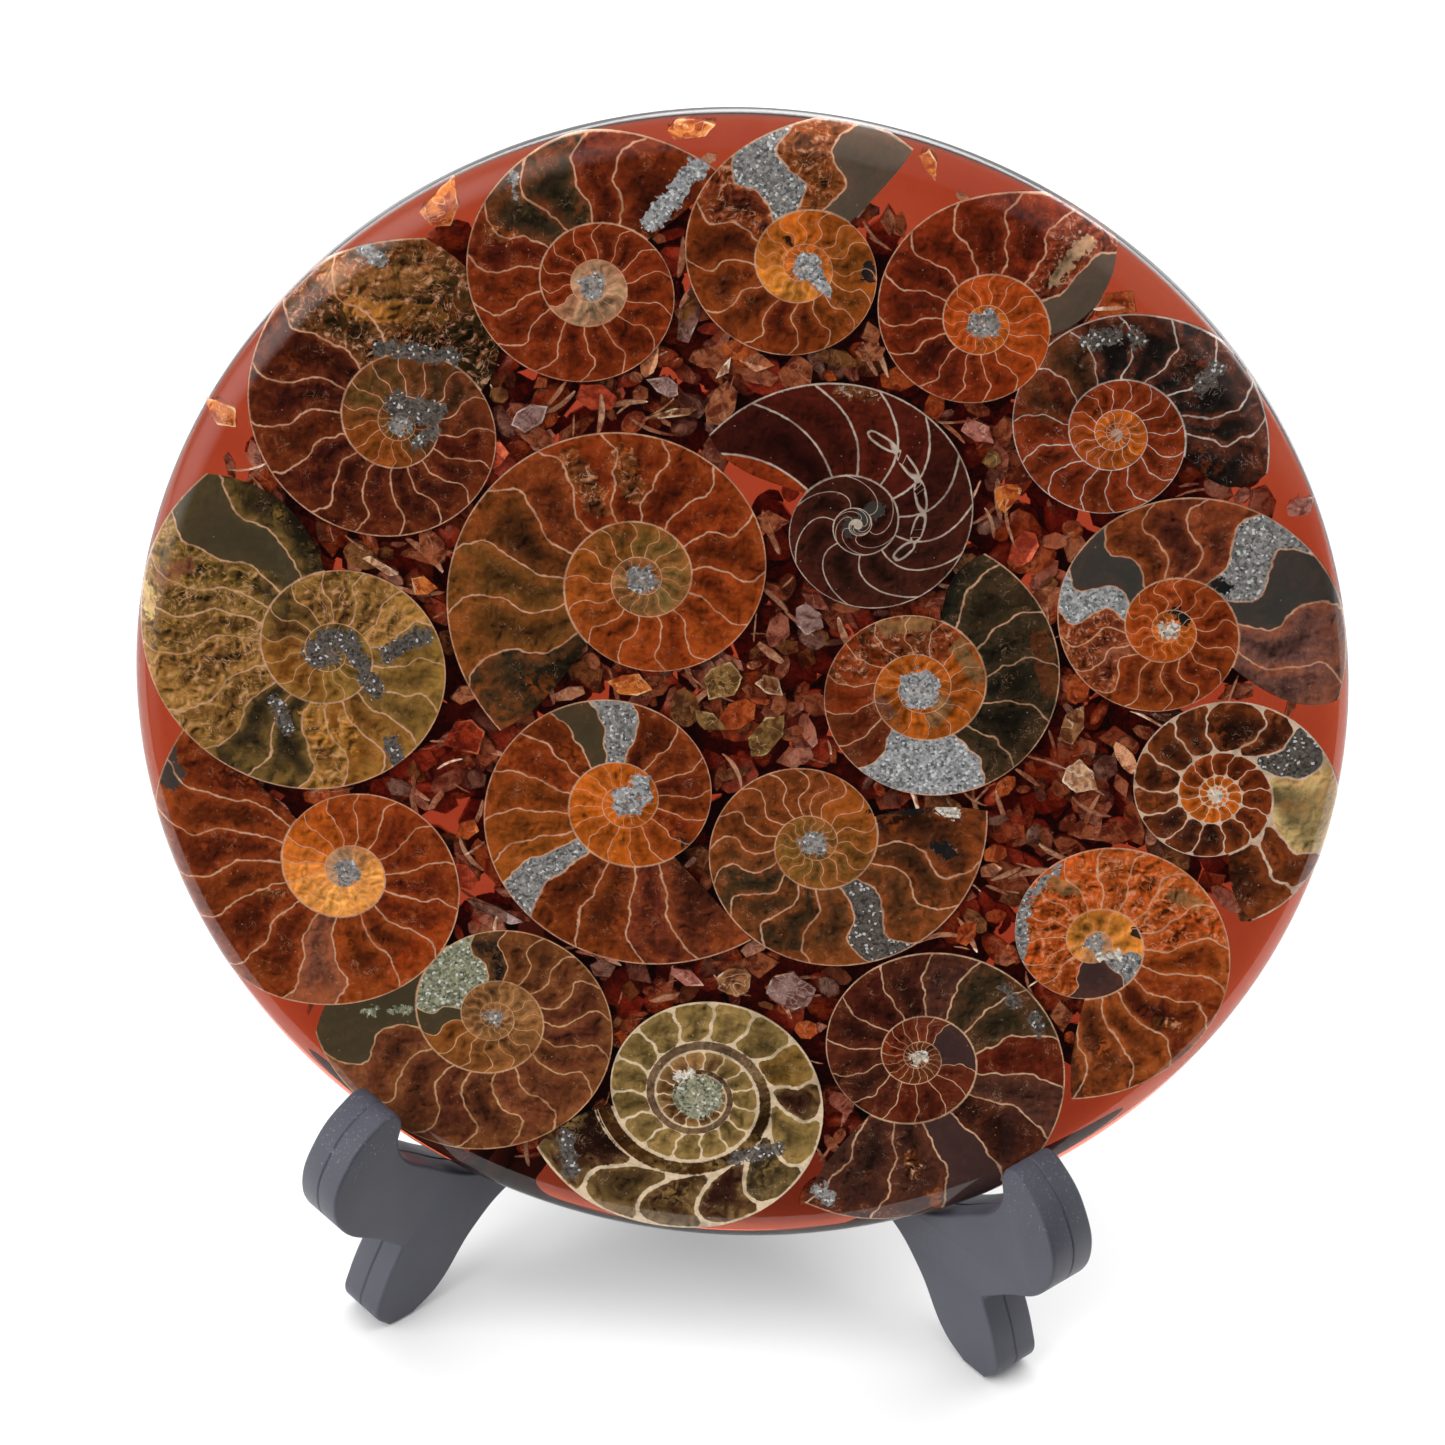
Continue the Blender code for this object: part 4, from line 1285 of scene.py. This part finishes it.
def chip_corners(length, width, corners, seed):
    """An uneven outline: its corners round the chip's middle."""
    chance = random.Random(seed)
    made = []
    for corner in range(corners):
        angle = 2 * math.pi * (corner + chance.uniform(-0.3, 0.3)) / corners
        reach = chance.uniform(0.6, 1.0)
        made.append((math.cos(angle) * reach * length / 2,
                     math.sin(angle) * reach * width / 2))
    return np.array(made)


def make_chip(name, row, seed, material):
    """A broken piece of shell, ground flush: an uneven outline with a chipped edge."""
    x, y, length, width, turn, corners = row[:6]
    turn = math.radians(turn)
    ends = chip_corners(length, width, corners, seed)
    deselect()
    bpy.ops.mesh.primitive_circle_add(vertices=corners, radius=1, fill_type="TRIFAN")
    obj = named(name)
    points = places(obj.data)
    rim = np.hypot(*points[:, :2].T) > 0.5
    angle = np.arctan2(points[rim, 1], points[rim, 0])
    order = np.mod(np.round(angle / (2 * math.pi / corners)).astype(int), corners)
    points[rim, :2] = ends[np.argsort(np.argsort(order))]
    points[~rim, :2] = ends.mean(axis=0)
    set_places(obj.data, points)
    edit_all(bpy.ops.mesh.subdivide, number_cuts=5)
    points = places(obj.data)
    away = distance_to_path(points[:, :2], np.append(ends, ends[:1], axis=0))
    write_marks(obj.data, "rim", "FLOAT", "value", away, "POINT")
    around = np.arctan2(points[:, 1], points[:, 0])
    chipped = 0.022 * np.sin(around * 7 + seed) + 0.014 * np.sin(around * 17 + 2 * seed)
    points[:, :2] *= (0.98 + chipped)[:, None]
    turned = np.array([[math.cos(turn), math.sin(turn)], [-math.sin(turn), math.cos(turn)]])
    points[:, :2] = points[:, :2] @ turned + (x, y)
    set_places(obj.data, points)
    share = np.tile(away / away.max(), 2)
    thicken(obj, CHIP_THICKNESS, CHIP_BELOW,
            lambda found: 0.08 + 0.92 * share[:len(found)])
    onto_disc(obj)
    settle(obj, material, [name])


def open_resin(x, y, margin):
    """True where neither a slice, within a margin, nor a clear spot is."""
    rows = np.array(list(SLICES.values())).T
    if (np.hypot(x - rows[0], y - rows[1]) < outline_reach(rows, x, y) + margin).any():
        return False
    return all(math.hypot(x - clear_x, y - clear_y) > radius
               for clear_x, clear_y, radius in CLEAR_SPOTS)


def placed_pieces(look, chance):
    """Adds the pieces that have a place of their own, in edit mode."""
    for x, y, long, wide, turn, kind in PLACED_CHIPS:
        if kind == look:
            bpy.ops.mesh.primitive_cylinder_add(
                vertices=chance.choice((5, 6, 7)), radius=0.5, depth=1,
                location=(x, y, -0.55 - edge_depth(math.hypot(x, y) + long / 2)),
                scale=(long, wide, 0.6),
                rotation=(chance.gauss(0, 0.05), chance.gauss(0, 0.05), math.radians(turn)))


def spread_pieces(chance, count, sizes, depths, reach, margin, widths, curl):
    """Adds pieces at random, in edit mode. Gives each one's size, place and bend."""
    pieces = []
    while len(pieces) < count:
        away = reach * math.sqrt(chance.random())
        around = chance.uniform(0, 2 * math.pi)
        x, y = away * math.cos(around), away * math.sin(around)
        if not open_resin(x, y, margin):
            continue
        long = chance.uniform(*sizes)
        wide = long * chance.uniform(*widths)
        thick = min(long, 3 * wide) * chance.uniform(0.1, 0.22)
        tilt = [chance.gauss(0, 0.22), chance.gauss(0, 0.22)]
        room = abs(tilt[0]) * wide / 2 + abs(tilt[1]) * long / 2 + thick / 2
        sunk = edge_depth(away + long / 2)
        depth = chance.uniform(*depths) + room + sunk
        if depth + room > DISC_THICKNESS - 0.5 - sunk:
            continue
        turn = chance.uniform(0, 2 * math.pi)
        place = {"location": (x, y, -depth), "scale": (long, wide, thick),
                 "rotation": (*tilt, turn)}
        if curl or len(pieces) % 2:
            sides = CURL_SIDES if curl > CURLED else chance.choice((4, 5, 6, 7, 9))
            bpy.ops.mesh.primitive_cylinder_add(vertices=sides, radius=0.5, depth=1, **place)
            pieces.append((2 * sides, x, y, turn, chance.uniform(-curl, curl)))
        else:
            bpy.ops.mesh.primitive_ico_sphere_add(subdivisions=2, radius=0.5, **place)
            pieces.append((0, x, y, turn, 0))
    return pieces


def deep_chips(look, seed, *spread, material):
    """Broken shell of one colour, at every depth of the resin, between the slices."""
    chance = random.Random(seed)
    curl = spread[-1]
    deselect()
    bpy.ops.mesh.primitive_cylinder_add(vertices=5, radius=0.4, depth=0.3,
                                        location=STARTER_PLACE)
    obj = named("deep_chips_" + look)
    bpy.ops.object.transform_apply(location=True)
    edit_mode()
    placed_pieces(look, chance)
    pieces = spread_pieces(chance, *spread)
    object_mode()
    points = places(obj.data)
    last = len(points)
    for size, x, y, turn, bend in reversed(pieces if curl else ()):
        along = np.array([math.cos(turn), math.sin(turn)])
        share = (points[last - size:last, :2] - (x, y)) @ along
        points[last - size:last, :2] += (bend * share**2)[:, None] * (-along[1], along[0])
        last -= size
    jitter = np.random.default_rng(seed).uniform(-0.11, 0.11, points.shape)
    points += jitter * (1, 1, 0.4) * (0.4 if curl > CURLED else 1)
    set_places(obj.data, points)
    write_marks(obj.data, "rim", "FLOAT", "value", np.full(len(points), FAR), "POINT")
    face_outwards()
    onto_disc(obj)
    settle(obj, material)


# The stand
def plastic_material():
    material, shader, place = new_material("black_plastic", {"IOR": 1.48})
    grain = noise(place, 2.2, 4)
    stretched = vector_maths(place, (0.9, 0.9, 0.16), "MULTIPLY")
    scratch = abs(noise(stretched, 1.3, 2, 1.5) - 0.5).ramp(0.012, 0.0)
    height = axes(place)[2]
    worn = scratch * height.ramp(26, 33) * height.ramp(45, 38) * grain.ramp(0.5, 0.62)
    base = blend(noise(place, 0.12, 2), linear((62, 63, 73)), linear((76, 76, 86)))
    connect(shader, "Base Color", blend(worn * 0.6, base, linear((190, 190, 196))))
    connect(shader, "Roughness", grain * 0.2 + 0.36)
    connect(shader, "Normal", bumped(grain, 0.25, 0.05 * MM))
    return material


def apply_modifier(obj, kind, **options):
    made = obj.modifiers.new(kind.title(), kind)
    for label, value in options.items():
        setattr(made, label, value)
    make_active(obj)
    bpy.ops.object.modifier_apply(modifier=made.name)


def lap_slot(open_top):
    """The block that leaves the plate's half of the crossing free."""
    crossing = SEAT_HALF_SPAN / math.sin(PLATE_TURN)
    low, high = (LAP_HEIGHT, OVER_PLATE) if open_top else (UNDER_PLATE,
                                                           LAP_HEIGHT + LAP_GAP)
    deselect()
    bpy.ops.mesh.primitive_cube_add(
        size=1, location=(crossing, (low + high) / 2, 0),
        scale=(PLATE_THICKNESS + 2 * LAP_GAP, high - low, 3 * PLATE_THICKNESS))
    return named("slot")


def flat_plate(name):
    """The plate's outline as a smooth curve, drawn out to its thickness."""
    deselect()
    bpy.ops.curve.primitive_bezier_circle_add()
    obj = named(name)
    curve = obj.data
    curve.splines.clear()
    curve.dimensions = "2D"
    curve.fill_mode = "BOTH"
    curve.extrude = PLATE_THICKNESS / 2
    curve.resolution_u = 10
    spline = curve.splines.new("BEZIER")
    spline.bezier_points.add(len(PLATE_OUTLINE) - 1)
    for index, place in enumerate(PLATE_OUTLINE):
        point = spline.bezier_points[index]
        kind = "VECTOR" if index in SHARP_POINTS else "AUTO"
        point.co = (*place, 0)
        point.handle_left_type = kind
        point.handle_right_type = kind
    spline.use_cyclic_u = True
    make_active(obj)
    bpy.ops.object.convert(target="MESH")
    return bpy.context.object


def make_plate(name, side, open_top, material):
    """One plate of the stand: its outline, half-lap slot, soft edges and mould seam."""
    obj = flat_plate(name + "_body")
    slot = lap_slot(open_top)
    make_active(obj)
    edit_all(bpy.ops.mesh.remove_doubles, threshold=0.001)
    face_outwards()
    apply_modifier(obj, "BOOLEAN", operation="DIFFERENCE", object=slot, solver="EXACT")
    bpy.data.objects.remove(slot)
    edit_all(bpy.ops.mesh.dissolve_limited, angle_limit=math.radians(0.5))
    apply_modifier(obj, "BEVEL", width=0.45, segments=3, limit_method="ANGLE",
                   angle_limit=math.radians(50), harden_normals=False)
    for height in (-SEAM_HALF_WIDTH, 0, SEAM_HALF_WIDTH):
        edit_all(bpy.ops.mesh.bisect, plane_co=(0, 0, height), plane_no=(0, 0, 1))
    pick(obj, np.abs(places(obj.data)[:, 2]) < 0.01, "VERT")
    bpy.ops.transform.shrink_fatten(value=-SEAM_DEPTH)
    object_mode()
    depth = PLATE_CROSSING - SEAT_HALF_SPAN / math.tan(PLATE_TURN)
    place = Matrix.Translation(Vector((side * SEAT_HALF_SPAN, depth, 0)) * MM)
    turned = (Matrix.Rotation(math.pi / 2 + side * PLATE_TURN, 4, "Z")
              @ Matrix.Rotation(math.pi / 2, 4, "X"))
    obj.data.transform(place @ turned @ Matrix.Scale(MM, 4))
    low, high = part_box(name)
    set_places(obj.data, np.clip(places(obj.data), low, high))
    face_outwards()
    smooth(obj, 35)
    settle(obj, material, [name])


# Camera, lights and floor
def set_camera():
    flat = math.cos(CAMERA_ELEVATION)
    right = Vector((math.cos(CAMERA_AZIMUTH), math.sin(CAMERA_AZIMUTH), 0))
    back = Vector((math.sin(CAMERA_AZIMUTH) * flat, -math.cos(CAMERA_AZIMUTH) * flat,
                   math.sin(CAMERA_ELEVATION)))
    up = back.cross(right)
    turned_right = right * math.cos(CAMERA_ROLL) + up * math.sin(CAMERA_ROLL)
    turned_up = up * math.cos(CAMERA_ROLL) - right * math.sin(CAMERA_ROLL)
    data = bpy.data.cameras.new("camera")
    data.sensor_width = SENSOR
    data.lens = FOCAL_PIXELS * SENSOR / IMAGE_SIDE
    data.shift_x = (IMAGE_SIDE / 2 - FACE_AT_PIXEL[0]) / IMAGE_SIDE
    data.shift_y = (FACE_AT_PIXEL[1] - IMAGE_SIDE / 2) / IMAGE_SIDE
    data.clip_start, data.clip_end = 0.01, 20
    camera = bpy.data.objects.new("camera", data)
    bpy.context.scene.collection.objects.link(camera)
    turn = Matrix((turned_right, turned_up, back)).transposed().to_4x4()
    stand = face_of_disc() + back * CAMERA_DISTANCE * MM
    camera.matrix_world = Matrix.Translation(stand) @ turn
    bpy.context.scene.camera = camera


def softbox(name, place, aim, size, power):
    data = bpy.data.lights.new(name, "AREA")
    data.shape = "RECTANGLE"
    data.size, data.size_y = size
    data.energy = power
    light = bpy.data.objects.new(name, data)
    bpy.context.scene.collection.objects.link(light)
    light.location = place
    light.visible_glossy = False
    light.rotation_euler = (Vector(aim) - Vector(place)).to_track_quat("-Z", "Y").to_euler()


def set_surround():
    """A white world: plain for the camera, brighter behind and at the left for the rest."""
    world = bpy.data.worlds.new("surround")
    bpy.context.scene.world = world
    world.use_nodes = True
    tree = world.node_tree
    tree.nodes.clear()
    place = wire(tree, "TexCoord", output="Generated")
    back, height = axes(place)[1:]
    left = vector_maths(place, (-0.78, -0.55, 0.30), "DOT_PRODUCT", "Value")
    horizon = back.ramp(0.3, 0.8) * height.ramp(-0.02, 0.08) * height.ramp(0.5, 0.25)
    glow = back.ramp(0.1, -0.5) * height.ramp(0.35, 0.0) * -0.36 + 0.4
    glow = glow + back.ramp(0.1, 0.7) * 0.5 + horizon * 3.5 + left.ramp(0.72, 1.0) * 1.7
    soft = wire(tree, "Background", {"Color": WHITE, "Strength": glow})
    plain = wire(tree, "Background", {"Color": WHITE, "Strength": 1.0})
    seen = wire(tree, "LightPath", output="Is Camera Ray")
    connect(add(tree, "OutputWorld"), "Surface", wire(tree, "MixShader", (seen, soft, plain)))


def set_stage():
    """A pale floor, soft light from the left and above, and a white surround."""
    bpy.context.scene.view_settings.view_transform = "Standard"
    deselect()
    bpy.ops.mesh.primitive_plane_add(size=1, location=(0, 0.45, -0.0002))
    floor = named("floor")
    floor.scale = (2.4, 1.08, 1)
    bpy.ops.object.transform_apply(location=True, scale=True)
    finish = {"Roughness": 0.9, "Base Color": (0.86, 0.86, 0.86, 1)}
    floor.data.materials.append(new_material("floor", finish)[0])
    softbox("key", (-0.75, -0.45, 0.75), (0, 0, 0.08), (1.0, 0.9), 6.5)
    softbox("top", (0.1, 0.25, 1.1), (0, 0, 0.05), (1.6, 1.2), 15.0)
    set_surround()


set_camera()
set_stage()
resin_disc()
fossil = fossil_group()
for slice_name, slice_row in SLICES.items():
    make_slice(slice_name, slice_row, fossil)
stone = shell_stone_group()
finishes = {look: chip_material("chip_" + look, colours, stone)
            for look, colours in CHIP_LOOKS.items()}
for chip_seed, (chip_name, chip_row) in enumerate(CHIPS.items()):
    make_chip(chip_name, chip_row, chip_seed, finishes[chip_row[6]])
for chip_look, *chip_spread in DEEP_CHIPS:
    finish = chip_material("deep_" + chip_look, DEEP_LOOKS[chip_look], stone)
    deep_chips(chip_look, *chip_spread, material=finish)
plastic = plastic_material()
make_plate("stand_left", -1, True, plastic)
make_plate("stand_right", 1, False, plastic)
